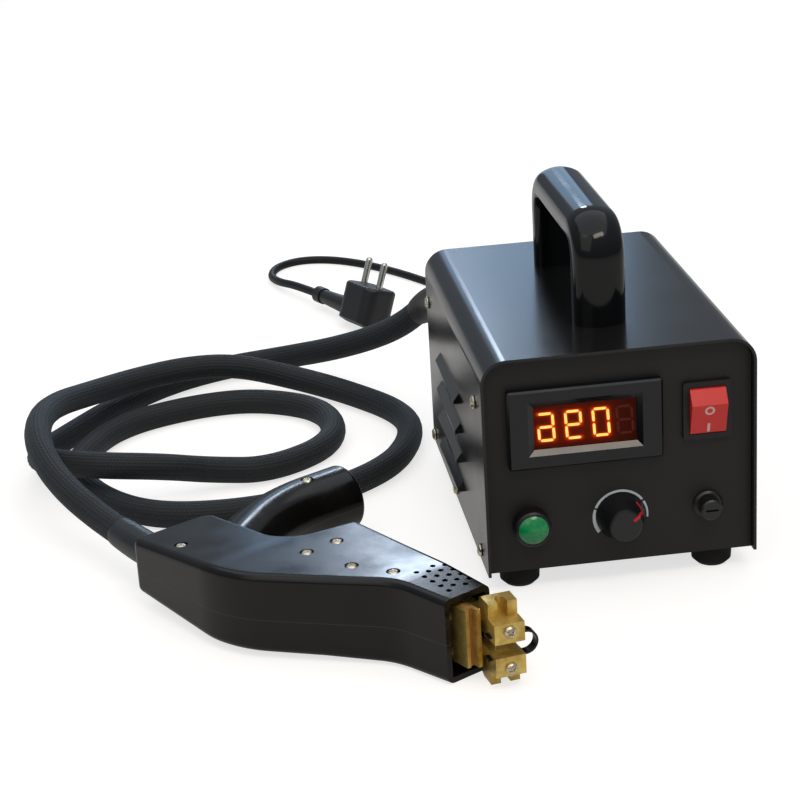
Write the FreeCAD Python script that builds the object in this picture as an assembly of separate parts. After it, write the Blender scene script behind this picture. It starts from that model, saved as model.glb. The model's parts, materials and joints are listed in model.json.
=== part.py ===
import FreeCAD, Part
import math
import os
from FreeCAD import Placement, Rotation
from FreeCAD import Vector as V

# Hot-blade groove cutter: a mains power unit, a hand tool on a sleeved hose, and a mains lead.
# Millimetres, +Z up, the floor at z = 0, the panel of the power unit facing -Y.

# Middle of the drawing sheet, and where the power unit and the hand tool stand on it
SHEET_X = 2.0
SHEET_Y = 7.5
UNIT_X = 88.0
UNIT_Y = -52.0
TOOL_X = 7.5
TOOL_Y = -123.2
TOOL_TURN = 120.92
TOOL_MID = 21.0

# Case of the power unit
CASE_WIDTH = 140.0
CASE_DEPTH = 198.0
CASE_HEIGHT = 116.5
SHEET = 1.5
COVER_BEND = 13.0
PANEL_RECESS = 5.0
REAR_RECESS = 2.0
FIT_GAP = 0.2
FLANGE_HEIGHT = 12.0
TAB_DEPTH = 24.0
TAB_HEIGHT = 14.0

# Feet
FOOT_HEIGHT = 12.0
FOOT_TOP = 21.4
FOOT_SOLE = 20.6
FOOT_SOFT = 2.5
FOOT_INSET_X = 19.0
FOOT_INSET_Y = 19.0
FOOT_RECESS = 10.0
FOOT_RECESS_DEPTH = 6.0

# Fasteners: shank, head diameter and head height
CASE_SCREW = (3.8, 7.0, 2.2)
FOOT_SCREW = (3.8, 7.5, 2.6)
HANDLE_SCREW = (5.0, 10.0, 4.0)
SHELL_SCREW = (3.0, 6.0, 2.0)
JAW_SCREW = (3.0, 6.0, 2.4)
CLAMP_SCREW = (3.0, 6.0, 2.4)
BOARD_SCREW_HOLE = 3.2
HOLE_GAP = 0.2
SCREW_BITE = 6.0
HANDLE_SCREW_BITE = 14.0
SIDE_SCREW_HIGH = 88.0
SIDE_SCREW_LOW = 6.0
SIDE_SCREW_INSET = 20.0

# Louvres pressed out of both sides
LOUVRE_COUNT = 4
LOUVRE_LENGTH = 68.0
LOUVRE_PITCH = 17.0
LOUVRE_FIRST = 22.0
LOUVRE_HEIGHT = 7.0
LOUVRE_DEPTH = 3.2

# Carrying handle, a crowned bar bent into a bridge
HANDLE_LENGTH = 128.0
HANDLE_RISE = 58.0
HANDLE_WIDTH = 27.0
HANDLE_CROWN_TURN = 60.0
HANDLE_CORNER = 8.0
HANDLE_INNER_CORNER = 4.0
HANDLE_BACK = 7.5
HANDLE_BEND = 15.0

# Panel meter, from the left edge and the bottom of the case
METER_X = -CASE_WIDTH / 8
METER_Z = 78.0
METER_WIDTH = 79.0
METER_HEIGHT = 42.0
METER_BEZEL = 5.0
METER_BEVEL = 1.0
METER_SLOPE = 3.0
METER_BODY_WIDTH = 75.0
METER_BODY_HEIGHT = 38.0
METER_BODY_DEPTH = 22.0
WINDOW_WIDTH = 54.0
WINDOW_HEIGHT = 26.5
WINDOW_THICK = 1.6
DISPLAY_WIDTH = 49.0
DISPLAY_HEIGHT = 21.0
DISPLAY_DEPTH = 7.0
DISPLAY_GAP = 1.0

# Rocker switch
SWITCH_X = CASE_WIDTH * 0.3236
SWITCH_Z = 78.7
SWITCH_WIDTH = 25.0
SWITCH_HEIGHT = 31.0
SWITCH_BEZEL = 2.2
SWITCH_BODY_WIDTH = 22.6
SWITCH_BODY_HEIGHT = 28.6
SWITCH_BODY_DEPTH = 19.0
ROCKER_WIDTH = 18.4
ROCKER_RADIUS = 12.2
ROCKER_GAP = 0.3
ROCKER_TILT = 10.0
ROCKER_FACE = 3.4
ROCKER_RIDGE = (7.0, 5.9)
ROCKER_ENDS = (1.2, 5.2)
ROCKER_BACK = 4.5
ROCKER_TAIL = 6.5
ROCKER_PIN = 3.0
ROCKER_PIN_LENGTH = 1.6
PIN_GAP = 0.05
TERMINAL = (0.8, 6.3, 9.0)
TERMINAL_X = 7.0
TERMINAL_Z = 7.5

# Voltage control
DIAL_X = 0.0
DIAL_Z = 24.8
POT_DIAMETER = 28.0
POT_DEPTH = 20.0
POT_BUSHING = 9.4
POT_NUT = 13.0
POT_NUT_THICK = 2.4
SHAFT_DIAMETER = 6.0
SHAFT_REACH = 11.0
SHAFT_SEAT = 6.0
KNOB_BASE = 25.0
KNOB_FACE = 17.4
KNOB_RIM = 0.8
KNOB_SOFT = 1.2
KNOB_HEIGHT = 13.4
KNOB_FLOAT = 0.6

# Pilot lamp
LAMP_X = -CASE_WIDTH * 0.332
LAMP_Z = 25.5
LAMP_BEZEL = 19.0
LAMP_BEZEL_HEIGHT = 8.5
LAMP_LENS = 15.4
LAMP_LENS_RISE = 3.2
LAMP_SEAT = 1.2
LAMP_BODY = 12.0
LAMP_BODY_DEPTH = 26.0

# Fuse holder
FUSE_X = CASE_WIDTH * 0.325
FUSE_Z = 26.5
FUSE_FLANGE = 15.4
FUSE_FLANGE_HEIGHT = 2.6
FUSE_BARREL = 12.6
FUSE_BARREL_DEPTH = 36.0
FUSE_BORE = 10.0
FUSE_CAP = 11.2
FUSE_CAP_HEIGHT = 7.0
FUSE_PLUG_DEPTH = 10.0
FUSE_PLUG_WALL = 1.2
FUSE_SLOT = (6.5, 1.1, 1.4)
FUSE_CUP_LENGTH = 8.0
FUSE_CUP_WALL = 0.9
FUSE_TUBE = 5.2
FUSE_LENGTH = 20.0
RUN_GAP = 0.06
PANEL_NUT = 17.0
PANEL_NUT_THICK = 3.0

# Transformer and control board inside the case
CORE_WIDTH = 90.0
CORE_HEIGHT = 75.0
CORE_STACK = 45.0
CORE_LEG = 15.0
CORE_Y = 128.0
WINDING_GAP = 0.5
PRIMARY_SHARE = 26.0
STRAP_FOOT = 12.0
BOARD_WIDTH = 78.0
BOARD_DEPTH = 46.0
BOARD_THICK = 1.6
BOARD_Y = 56.0
STANDOFF_HEIGHT = 8.0
STANDOFF_WIDTH = 6.0
STANDOFF_INSET = 5.0
SINK_WIDTH = 40.0
SINK_HEIGHT = 24.0
SINK_DEPTH = 14.0
SINK_FINS = 6
SINK_FIN = 1.6
SINK_BASE = 3.0

# Cable exits in the rear panel, from the case centre and the bottom of the case
HOSE_EXIT_INSET = 16.0
HOSE_EXIT_X = HOSE_EXIT_INSET - CASE_WIDTH / 2
HOSE_START_GAP = 0.5
HOSE_EXIT_Z = 72.0
GLAND_DIAMETER = 24.0
GLAND_LENGTH = 22.0
GLAND_THREAD = 19.6
GLAND_NUT_THICK = 5.0
MAINS_EXIT_X = 20.0
MAINS_EXIT_Z = 25.0
RELIEF_DIAMETER = 14.0
RELIEF_TIP = 9.0
RELIEF_LENGTH = 20.0
RELIEF_NECK = 11.6
LEAD_START_GAP = 0.2

# Hose from the power unit to the hand tool, its route on the floor
HOSE_DIAMETER = 15.5
HOSE_ROUTE = [
    (34.0, 168.0, 84.0), (33.5, 190.0, 83.0), (27.0, 214.0, 74.0), (8.0, 240.0, 50.0), (-24.0, 283.0, 27.0),
    (-60.0, 317.0, 12.0), (-103.0, 319.0, 8.0), (-142.0, 297.0, 7.8), (-175.0, 260.0, 7.8),
    (-202.0, 218.0, 8.5), (-220.0, 177.0, 13.0), (-209.0, 139.0, 24.0), (-180.0, 118.0, 27.0),
    (-144.0, 117.0, 23.0), (-116.0, 131.0, 12.0), (-81.0, 132.0, 7.8), (-39.0, 165.0, 7.8),
    (-39.0, 220.5, 7.8), (-79.0, 252.0, 7.8), (-122.0, 252.0, 7.8), (-172.0, 229.0, 7.8),
    (-196.0, 178.0, 7.8), (-196.0, 149.0, 7.8), (-172.0, 100.0, 7.8), (-137.0, 76.0, 7.8),
    (-76.0, 76.0, 7.8), (-16.0, 111.0, 7.8), (7.0, 160.0, 7.8), (7.0, 203.0, 7.8),
    (-25.0, 252.0, 7.8), (-58.0, 275.0, 13.0), (-93.0, 277.0, 24.0), (-125.0, 275.0, 26.0),
    (-158.0, 262.0, 26.0), (-186.0, 236.0, 29.0), (-206.0, 200.0, 37.0), (-214.0, 160.0, 43.0),
    (-213.0, 116.0, 43.0), (-199.0, 74.0, 34.0),
]
SLEEVE_DIAMETER = 18.0
SLEEVE_LENGTH = 28.0
SLEEVE_GAP = 0.3
HOSE_LAST_RUN = 44.0

# Mains lead: from the case to a tied coil behind it, then on the floor to the plug
CORD_DIAMETER = 6.0
COIL_X = 107.0
COIL_Y = 248.0
COIL_RADIUS = 41.0
COIL_PITCH = 7.4
COIL_TURNS = 1.75
COIL_LIFT = 1.4
COIL_STRAND_GAP = 1.3
TIE_WIDTH = 6.0
TIE_WALL = 1.0
TIE_GAP = 0.3
LEAD_ROUTE = [
    (108.6, 179.6, 36.7), (117.2, 196.5, 30.7), (132.7, 204.5, 18.7), (144.3, 214.2, 10.5),
    (148.7, 227.5, 4.8),
]
CORD_ROUTE = [
    (148.6, 272.0, 11.4), (145.5, 296.0, 7.0), (136.0, 322.0, 3.3), (124.0, 352.0, 3.05),
    (107.0, 390.0, 3.05), (88.0, 430.0, 3.05), (66.0, 472.0, 3.05), (43.0, 512.0, 3.05),
    (18.0, 545.0, 3.05), (-7.0, 565.0, 3.05), (-31.0, 569.0, 3.05), (-49.0, 556.0, 3.05),
    (-55.0, 533.0, 3.2), (-50.0, 508.5, 5.6), (-38.3, 484.0, 9.4),
]
PLUG_X = 4.4
PLUG_Y = 401.0
PLUG_TURN = 117.3
PLUG_LENGTH = 36.0
PLUG_WIDTH = 27.0
PLUG_HEIGHT = 30.0
PLUG_CORNER = 9.0
PLUG_EDGE = 2.5
PLUG_ROLL = 20.0
PLUG_NECK_LENGTH = 62.0
PLUG_NECK_ROOT = 15.0
PLUG_NECK_TIP = 9.5
PLUG_COLLAR = (12.0, 8.0)
PLUG_NECK_Z = 10.0
PIN_DIAMETER = 4.8
PIN_LENGTH = 19.0
PIN_SPACING = 19.0

# Hand tool, measured back from its nose (s) and across from its straight edge (w)
BODY_NOSE = 27.5
BODY_WAIST = (31.4, 32.9, 35.0)
BODY_HIP = (98.0, 86.7, 62.0)
BODY_LENGTH = 180.0
BODY_HEEL = 89.0
BODY_BARREL = 104.5
GAP_FLOOR = (111.0, 40.0, 18.0)
BODY_TOP = [(0.0, 23.0), (30.0, 24.8), (62.0, 24.2), (112.0, 23.6), (180.0, 16.5)]
BODY_UNDER = [(0.0, 20.8), (26.0, 20.8), (62.0, 18.6), (112.0, 17.6), (180.0, 12.2)]
BODY_EDGE = 4.0
BODY_BLEND = 120.0
SHELL_WALL = 3.0
CAVITY_LENGTH = 100.0
BOSS_DIAMETER = 8.0
BOSS_PLACES = [(89.1, 41.9), (89.1, 23.5), (60.4, 35.8), (40.1, 26.0)]
HEEL_SCREW = (149.0, 77.5)
GRIP_SCREW = (175.7, -20.0)
GRIP_DIAMETER = 36.0
GRIP_ROOT = (146.0, 50.0)
GRIP_AXIS = 176.5
GRIP_LEAN = 33.0
GRIP_BEND = 90.0
GRIP_END = -46.0
GRIP_EDGE = 3.0
VENT_DIAMETER = 2.8
VENT_PITCH = 6.1
VENT_ROW = 5.0
VENT_FIRST = (6.6, 19.0)
VENT_COUNTS = [5, 4, 5, 4]
HOSE_ENTRY_W = 71.0

# Brass head: two jaws on conductor plates, set at an angle to the tool
HEAD_S = -16.0
HEAD_W = 5.7
HEAD_TURN = 20.0
JAW_WIDTH = 14.5
JAW_INNER = 3.5
JAW_OUTER = 21.0
JAW_BACK = 2.0
JAW_SLOT = 4.8
JAW_SLOT_DEPTH = 6.5
JAW_SLOT_FLOOR = 12.6
JAW_BEVEL = 5.0
TONGUE_NECK = (3.5, 8.0)
TONGUE_LENGTH = 26.0
TONGUE_STEP = 4.0
TONGUE_Z = (4.5, 14.0)
BAR_WIDTH = 15.0
BAR_HEIGHT = 10.0
BAR_THICK = 8.5
BAR_TRAVEL = 1.5
CLAMP_SCREW_Z = 9.5
CLAMP_SCREW_BITE = 9.0
PLATE_THICK = 2.0
PLATE_TOP = 17.5
PLATE_LOW = 12.5
PLATE_LENGTH = 30.0
NEAR_PLATE_REACH = 6.0
FAR_PLATE_REACH = 9.0
INSULATOR_THICK = 2.5
INSULATOR_REACH = 5.0
PLATE_W = 20.0
JAW_SCREW_S = 9.0
BLADE_THICK = 1.0
BLADE_WIDTH = 5.0
BLADE_HALF = 5.75
BLADE_SEAT = 0.8
BLADE_LEG = 9.5
BLADE_LOOP = 9.4
BLADE_GAP = 0.15

Z = V(0, 0, 1)
Y = V(0, 1, 0)
X = V(1, 0, 0)
CASE_TOP = FOOT_HEIGHT + CASE_HEIGHT
PANEL_BACK = PANEL_RECESS + SHEET
REAR_FACE = CASE_DEPTH - REAR_RECESS
FLOOR_SHEET = FOOT_HEIGHT + SHEET
INNER_HALF = CASE_WIDTH / 2 - SHEET - FIT_GAP
SHEET_MIDDLE = Placement(V(-SHEET_X, -SHEET_Y, 0), Rotation(Z, 0))
UNIT = Placement(V(UNIT_X, UNIT_Y, 0), Rotation(Z, 0))
TOOL = Placement(V(TOOL_X, TOOL_Y, TOOL_MID), Rotation(Z, TOOL_TURN))
HEAD = TOOL.multiply(Placement(V(HEAD_S, HEAD_W, 0), Rotation(Z, HEAD_TURN - 130)))
NODES = {}


def keep(name, shape, place=None):
    """Put a finished shape in its place and remember it under its node's name."""
    solid = shape.copy()
    if place is not None:
        solid.Placement = place.multiply(solid.Placement)
    solid.Placement = SHEET_MIDDLE.multiply(solid.Placement)
    NODES[name] = solid


def fused(shapes):
    """Join overlapping solids into one."""
    whole = shapes[0].fuse(shapes[1:]) if len(shapes) > 1 else shapes[0]
    return whole.removeSplitter()


def group(shapes):
    """Several separate solids that share one node."""
    return Part.makeCompound(shapes)


def mid_box(size, centre):
    """A box of the given size about a centre."""
    corner = V(centre[0] - size[0] / 2, centre[1] - size[1] / 2, centre[2] - size[2] / 2)
    return Part.makeBox(size[0], size[1], size[2], corner)


def disc(diameter, start, along, length):
    """A cylinder from a point, along a unit direction."""
    return Part.makeCylinder(diameter / 2, length, start, along)


def rounded_wire(corners):
    """A closed outline of (x, y, radius) corners, each rounded by a tangent arc."""
    count = len(corners)
    points = [V(c[0], c[1], 0) for c in corners]
    edges = []
    ends = []
    for i in range(count):
        before = (points[i - 1] - points[i]).normalize()
        after = (points[(i + 1) % count] - points[i]).normalize()
        radius = corners[i][2]
        if radius <= 0:
            ends.append((points[i], points[i], None))
            continue
        half = before.getAngle(after) / 2
        tangent = radius / math.tan(half)
        middle = (before + after).normalize() * (radius / math.sin(half) - radius)
        ends.append((points[i] + before * tangent, points[i] + after * tangent, points[i] + middle))
    for i in range(count):
        start, finish, through = ends[i]
        if through is not None:
            edges.append(Part.Arc(start, through, finish).toShape())
        following = ends[(i + 1) % count][0]
        if finish.distanceToPoint(following) > 1e-6:
            edges.append(Part.LineSegment(finish, following).toShape())
    return Part.Wire(edges)


def plate(corners, height):
    """A rounded outline in XY, raised along Z."""
    return Part.Face(rounded_wire(corners)).extrude(V(0, 0, height))


def standing(corners, depth):
    """A rounded outline given as (x, z, radius), standing in XZ and extruded along +Y."""
    flat = plate(corners, depth)
    flat.rotate(V(0, 0, 0), X, 90)
    flat.translate(V(0, depth, 0))
    return flat


def turned(profile, start, along):
    """A solid of revolution of (radius, height) points about an axis."""
    points = [V(r, 0, h) for r, h in profile]
    face = Part.Face(Part.makePolygon(points + [points[0]]))
    solid = face.revolve(V(0, 0, 0), Z, 360)
    solid.Placement = Placement(start, Rotation(Z, along))
    return solid


def hexagon(across, thick, start, along):
    """A hexagon nut blank with its axis on a direction."""
    reach = across / math.sqrt(3)
    points = [V(reach * math.cos(math.radians(60 * k)), reach * math.sin(math.radians(60 * k)), 0) for k in range(7)]
    nut = Part.Face(Part.makePolygon(points)).extrude(V(0, 0, thick))
    nut.Placement = Placement(start, Rotation(Z, along))
    return nut


def screw(sizes, seat, along, bite):
    """A pan-head screw: head standing off its seat, shank along the direction."""
    shank, head, height = sizes
    crown = head * 0.36
    profile = [(0, -height), (crown, -height), (head / 2, -height * 0.45), (head / 2, 0), (shank / 2, 0)]
    profile += [(shank / 2, bite), (0, bite)]
    return turned(profile, seat, along)


def arc_from(start, tangent, finish):
    """An arc that leaves a point along a tangent and ends at another point."""
    chord = finish - start
    unit = V(chord).normalize()
    side = tangent - unit * tangent.dot(unit)
    if side.Length < 1e-6:
        return Part.LineSegment(start, finish).toShape()
    bulge = chord.Length / 2 * math.tan(tangent.getAngle(chord) / 2)
    through = start + chord * 0.5 + side.normalize() * bulge
    return Part.Arc(start, through, finish).toShape()


def biarc(start, leave, finish, arrive):
    """Two tangent arcs between two points with given directions."""
    gap = finish - start
    slack = 2 * (1 - leave.dot(arrive))
    along = gap.dot(leave + arrive)
    reach = (math.sqrt(along * along + slack * gap.dot(gap)) - along) / slack
    joint = (start + finish + (leave - arrive) * reach) * 0.5
    onward = (finish - arrive * reach - start - leave * reach).normalize()
    return [arc_from(start, leave, joint), arc_from(joint, onward, finish)]


def soft_route(points):
    """Straight runs joined by arcs as large as the runs allow, and the least radius."""
    edges = []
    radii = []
    at = points[0]
    for i in range(1, len(points) - 1):
        corner = points[i]
        inward = corner - points[i - 1]
        onward = points[i + 1] - corner
        cut = 0.45 * min(inward.Length, onward.Length)
        half = inward.getAngle(onward) / 2
        inward.normalize()
        onward.normalize()
        radius = cut / math.tan(half)
        radii.append(radius)
        start = corner - inward * cut
        finish = corner + onward * cut
        middle = corner + (onward - inward).normalize() * (radius / math.cos(half) - radius)
        edges.append(Part.LineSegment(at, start).toShape())
        edges.append(Part.Arc(start, middle, finish).toShape())
        at = finish
    edges.append(Part.LineSegment(at, points[-1]).toShape())
    return edges, radii


def tube(edges, diameter, start, along):
    """A round solid along a path of edges."""
    path = Part.Wire(edges)
    section = Part.Wire(Part.makeCircle(diameter / 2, start, along))
    return path.makePipeShell([section], True, False)


def self_gap(edges, diameter):
    """Least clear distance of a tube from itself, measured on points along its path."""
    step = diameter / 3
    points = []
    for edge in edges:
        count = max(2, int(edge.Length / step) + 1)
        points += edge.discretize(Number=count)[:-1]
    run = [0.0]
    for i in range(1, len(points)):
        run.append(run[-1] + points[i].distanceToPoint(points[i - 1]))
    least = 1e9
    for i in range(len(points)):
        for j in range(i + 1, len(points)):
            if run[j] - run[i] > 3 * diameter:
                least = min(least, points[i].distanceToPoint(points[j]))
    return least - diameter


def cord(name, points, diameter):
    """A free cord along a chosen route, with its bends and its length printed."""
    route = [V(*p) for p in points]
    edges, radii = soft_route(route)
    solid = tube(edges, diameter, route[0], route[1] - route[0])
    length = sum(edge.Length for edge in edges)
    section = math.pi * diameter * diameter / 4 * length
    print(name, "length", round(length, 1), "radii", [round(r) for r in radii])
    print(name, "volume over section times length", round(solid.Volume / section, 4))
    print(name, "gap to itself", round(self_gap(edges, diameter), 2))
    keep(name, solid)


def arch(width, bottom, top, bend, depth):
    """A slab with square feet and rounded shoulders, standing in XZ."""
    half = width / 2
    return standing([(-half, bottom, 0), (half, bottom, 0), (half, top, bend), (-half, top, bend)], depth)


def side_screw_places():
    """Where screws hold the cover: (y, z) on each side."""
    front = PANEL_RECESS + SIDE_SCREW_INSET - 3
    rear = REAR_FACE - SIDE_SCREW_INSET + 13
    high = FOOT_HEIGHT + SIDE_SCREW_HIGH
    low = FOOT_HEIGHT + SIDE_SCREW_LOW
    middle = (front + rear) / 2
    return [(front, high), (rear, high), (front, low), (middle, low), (rear, low)]


def side_holes(diameter):
    """Straight holes through both sides at the screw places."""
    span = CASE_WIDTH + 20
    return [disc(diameter, V(-span / 2, y, z), X, span) for y, z in side_screw_places()]


def foot_places():
    """Centres of the four feet."""
    across = CASE_WIDTH / 2 - FOOT_INSET_X
    return [V(x, y, 0) for x in (-across, across) for y in (FOOT_INSET_Y, CASE_DEPTH - FOOT_INSET_Y)]


def handle_places():
    """Y of the two handle legs, on the handle screws."""
    middle = CASE_DEPTH / 2
    reach = HANDLE_LENGTH / 2 - handle_outer()
    return [middle - reach, middle + reach]


def handle_outer():
    """From the handle bar's path line to the crest of its outer face."""
    turn = math.radians(HANDLE_CROWN_TURN)
    flat = HANDLE_WIDTH / 2 - HANDLE_CORNER
    crown = HANDLE_CORNER + flat / math.cos(turn)
    return crown - flat * math.tan(turn)


def louvre(side, level):
    """One pressed hood and the slit behind it, open downwards."""
    start = CASE_DEPTH / 2 + 14 - LOUVRE_LENGTH / 2
    wall = side * CASE_WIDTH / 2
    out = side * LOUVRE_DEPTH
    rim = side * SHEET
    hood = [V(wall - rim / 2, start, level), V(wall + out, start, level)]
    hood += [V(wall + out, start, level + SHEET), V(wall - rim / 2, start, level + LOUVRE_HEIGHT)]
    slit = [V(wall - 2 * rim, start + SHEET, level - SHEET), V(wall + out - rim, start + SHEET, level - SHEET)]
    slit += [V(wall + out - rim, start + SHEET, level + SHEET / 2)]
    slit += [V(wall - rim, start + SHEET, level + LOUVRE_HEIGHT - SHEET * 1.6)]
    slit += [V(wall - 2 * rim, start + SHEET, level + LOUVRE_HEIGHT - SHEET * 1.6)]
    outer = Part.Face(Part.makePolygon(hood + [hood[0]])).extrude(V(0, LOUVRE_LENGTH, 0))
    inner = Part.Face(Part.makePolygon(slit + [slit[0]])).extrude(V(0, LOUVRE_LENGTH - 2 * SHEET, 0))
    trim = mid_box((4 * SHEET, LOUVRE_LENGTH, SHEET), (wall - 2 * rim, start + LOUVRE_LENGTH / 2, level - SHEET / 2))
    return outer, inner.cut(trim)


def make_cover():
    """Bent cover: a U of sheet with louvred sides, open at both ends and below."""
    outer = arch(CASE_WIDTH, FOOT_HEIGHT, CASE_TOP, COVER_BEND, CASE_DEPTH)
    inside = CASE_WIDTH - 2 * SHEET
    inner = arch(inside, FOOT_HEIGHT - SHEET, CASE_TOP - SHEET, COVER_BEND - SHEET, CASE_DEPTH)
    cover = outer.cut(inner)
    hoods = []
    slits = []
    for side in (-1, 1):
        for k in range(LOUVRE_COUNT):
            hood, slit = louvre(side, FOOT_HEIGHT + LOUVRE_FIRST + k * LOUVRE_PITCH - LOUVRE_HEIGHT)
            hoods.append(hood)
            slits.append(slit)
    cover = cover.fuse(hoods).removeSplitter()
    bores = side_holes(CASE_SCREW[0] + 2 * HOLE_GAP)
    bores += [disc(HANDLE_SCREW[0] + 2 * HOLE_GAP, V(0, y, CASE_TOP - 3 * SHEET), Z, 5 * SHEET) for y in handle_places()]
    keep("top_cover", cover.cut(slits + bores), UNIT)


def make_chassis():
    """Bent base: floor, front panel, rear panel and the tabs that take the cover's screws."""
    width = 2 * INNER_HALF
    depth = REAR_FACE - PANEL_RECESS
    shoulder = COVER_BEND - SHEET - FIT_GAP
    top = CASE_TOP - SHEET - FIT_GAP
    floor = Part.makeBox(width, depth, SHEET, V(-INNER_HALF, PANEL_RECESS, FOOT_HEIGHT))
    front = arch(width, FOOT_HEIGHT, top, shoulder, SHEET)
    front.translate(V(0, PANEL_RECESS, 0))
    rear = arch(width, FOOT_HEIGHT, top, shoulder, SHEET)
    rear.translate(V(0, REAR_FACE - SHEET, 0))
    sheets = [floor, front, rear]
    tab_z = FOOT_HEIGHT + SIDE_SCREW_HIGH - TAB_HEIGHT / 2
    for x in (-INNER_HALF, INNER_HALF - SHEET):
        sheets.append(Part.makeBox(SHEET, depth, FLANGE_HEIGHT, V(x, PANEL_RECESS, FOOT_HEIGHT)))
        sheets.append(Part.makeBox(SHEET, TAB_DEPTH, TAB_HEIGHT, V(x, PANEL_RECESS, tab_z)))
        sheets.append(Part.makeBox(SHEET, TAB_DEPTH, TAB_HEIGHT, V(x, REAR_FACE - TAB_DEPTH, tab_z)))
    chassis = fused(sheets)
    back = V(0, PANEL_RECESS - SHEET, FOOT_HEIGHT)
    deep = 3 * SHEET
    cuts = side_holes(CASE_SCREW[0])
    meter_hole = (METER_BODY_WIDTH + 2 * FIT_GAP, deep, METER_BODY_HEIGHT + 2 * FIT_GAP)
    cuts.append(mid_box(meter_hole, (METER_X, PANEL_RECESS, FOOT_HEIGHT + METER_Z)))
    switch_hole = (SWITCH_BODY_WIDTH + 2 * FIT_GAP, deep, SWITCH_BODY_HEIGHT + 2 * FIT_GAP)
    cuts.append(mid_box(switch_hole, (SWITCH_X, PANEL_RECESS, FOOT_HEIGHT + SWITCH_Z)))
    rounds = [(DIAL_X, DIAL_Z, POT_BUSHING), (LAMP_X, LAMP_Z, LAMP_BODY), (FUSE_X, FUSE_Z, FUSE_BARREL)]
    for x, z, bore in rounds:
        cuts.append(disc(bore + 2 * FIT_GAP, back + V(x, 0, z), Y, deep))
    exits = [(HOSE_EXIT_X, HOSE_EXIT_Z, GLAND_THREAD), (MAINS_EXIT_X, MAINS_EXIT_Z, RELIEF_NECK)]
    for x, z, bore in exits:
        cuts.append(disc(bore + 2 * FIT_GAP, V(x, REAR_FACE - 2 * SHEET, FOOT_HEIGHT + z), Y, deep))
    for place in foot_places():
        cuts.append(disc(FOOT_SCREW[0], place + V(0, 0, FOOT_HEIGHT - SHEET), Z, deep))
    keep("base_chassis", chassis.cut(cuts), UNIT)


def make_cover_screws():
    """Five screws on each side, heads on the cover, tips in the chassis tabs."""
    screws = []
    for side in (-1, 1):
        for y, z in side_screw_places():
            screws.append(screw(CASE_SCREW, V(side * CASE_WIDTH / 2, y, z), V(-side, 0, 0), SCREW_BITE))
    keep("cover_screws", group(screws), UNIT)


def make_feet():
    """Four tapered rubber feet, each with a screw up its middle."""
    feet = []
    screws = []
    hole = FOOT_SCREW[0] / 2 + HOLE_GAP
    for place in foot_places():
        profile = [(FOOT_RECESS / 2, 0), (FOOT_SOLE / 2 - FOOT_SOFT, 0), (FOOT_SOLE / 2, FOOT_SOFT)]
        profile += [(FOOT_TOP / 2, FOOT_HEIGHT - FOOT_SOFT), (FOOT_TOP / 2, FOOT_HEIGHT), (hole, FOOT_HEIGHT)]
        profile += [(hole, FOOT_RECESS_DEPTH), (FOOT_RECESS / 2, FOOT_RECESS_DEPTH)]
        feet.append(turned(profile, place, Z))
        bite = FOOT_HEIGHT - FOOT_RECESS_DEPTH + 2 * SHEET + FOOT_SCREW[2] / 2
        screws.append(screw(FOOT_SCREW, place + V(0, 0, FOOT_RECESS_DEPTH), Z, bite))
    keep("rubber_feet", group(feet), UNIT)
    keep("foot_screws", group(screws), UNIT)


def handle_section(centre_y):
    """Section of the handle bar where its front leg stands on the cover, crown to the front."""
    turn = math.radians(HANDLE_CROWN_TURN)
    half = HANDLE_WIDTH / 2
    flat = half - HANDLE_CORNER
    inner = HANDLE_INNER_CORNER
    crest = handle_outer()

    def at(x, out):
        return V(x, centre_y - out, CASE_TOP)

    def shoulder(side, angle):
        return at(side * (flat + HANDLE_CORNER * math.cos(angle)), HANDLE_CORNER * math.sin(angle))

    def heel(side, angle):
        x = side * (half - inner + inner * math.cos(angle))
        return at(x, inner - HANDLE_BACK - inner * math.sin(angle))

    edges = [Part.Arc(shoulder(1, 0), shoulder(1, turn / 2), shoulder(1, turn)).toShape()]
    edges.append(Part.Arc(shoulder(1, turn), at(0, crest), shoulder(-1, turn)).toShape())
    edges.append(Part.Arc(shoulder(-1, turn), shoulder(-1, turn / 2), shoulder(-1, 0)).toShape())
    quarter = math.pi / 2
    edges.append(Part.LineSegment(shoulder(-1, 0), heel(-1, 0)).toShape())
    edges.append(Part.Arc(heel(-1, 0), heel(-1, quarter / 2), heel(-1, quarter)).toShape())
    edges.append(Part.LineSegment(heel(-1, quarter), heel(1, quarter)).toShape())
    edges.append(Part.Arc(heel(1, quarter), heel(1, quarter / 2), heel(1, 0)).toShape())
    edges.append(Part.LineSegment(heel(1, 0), shoulder(1, 0)).toShape())
    return Part.Wire(edges)


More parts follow.
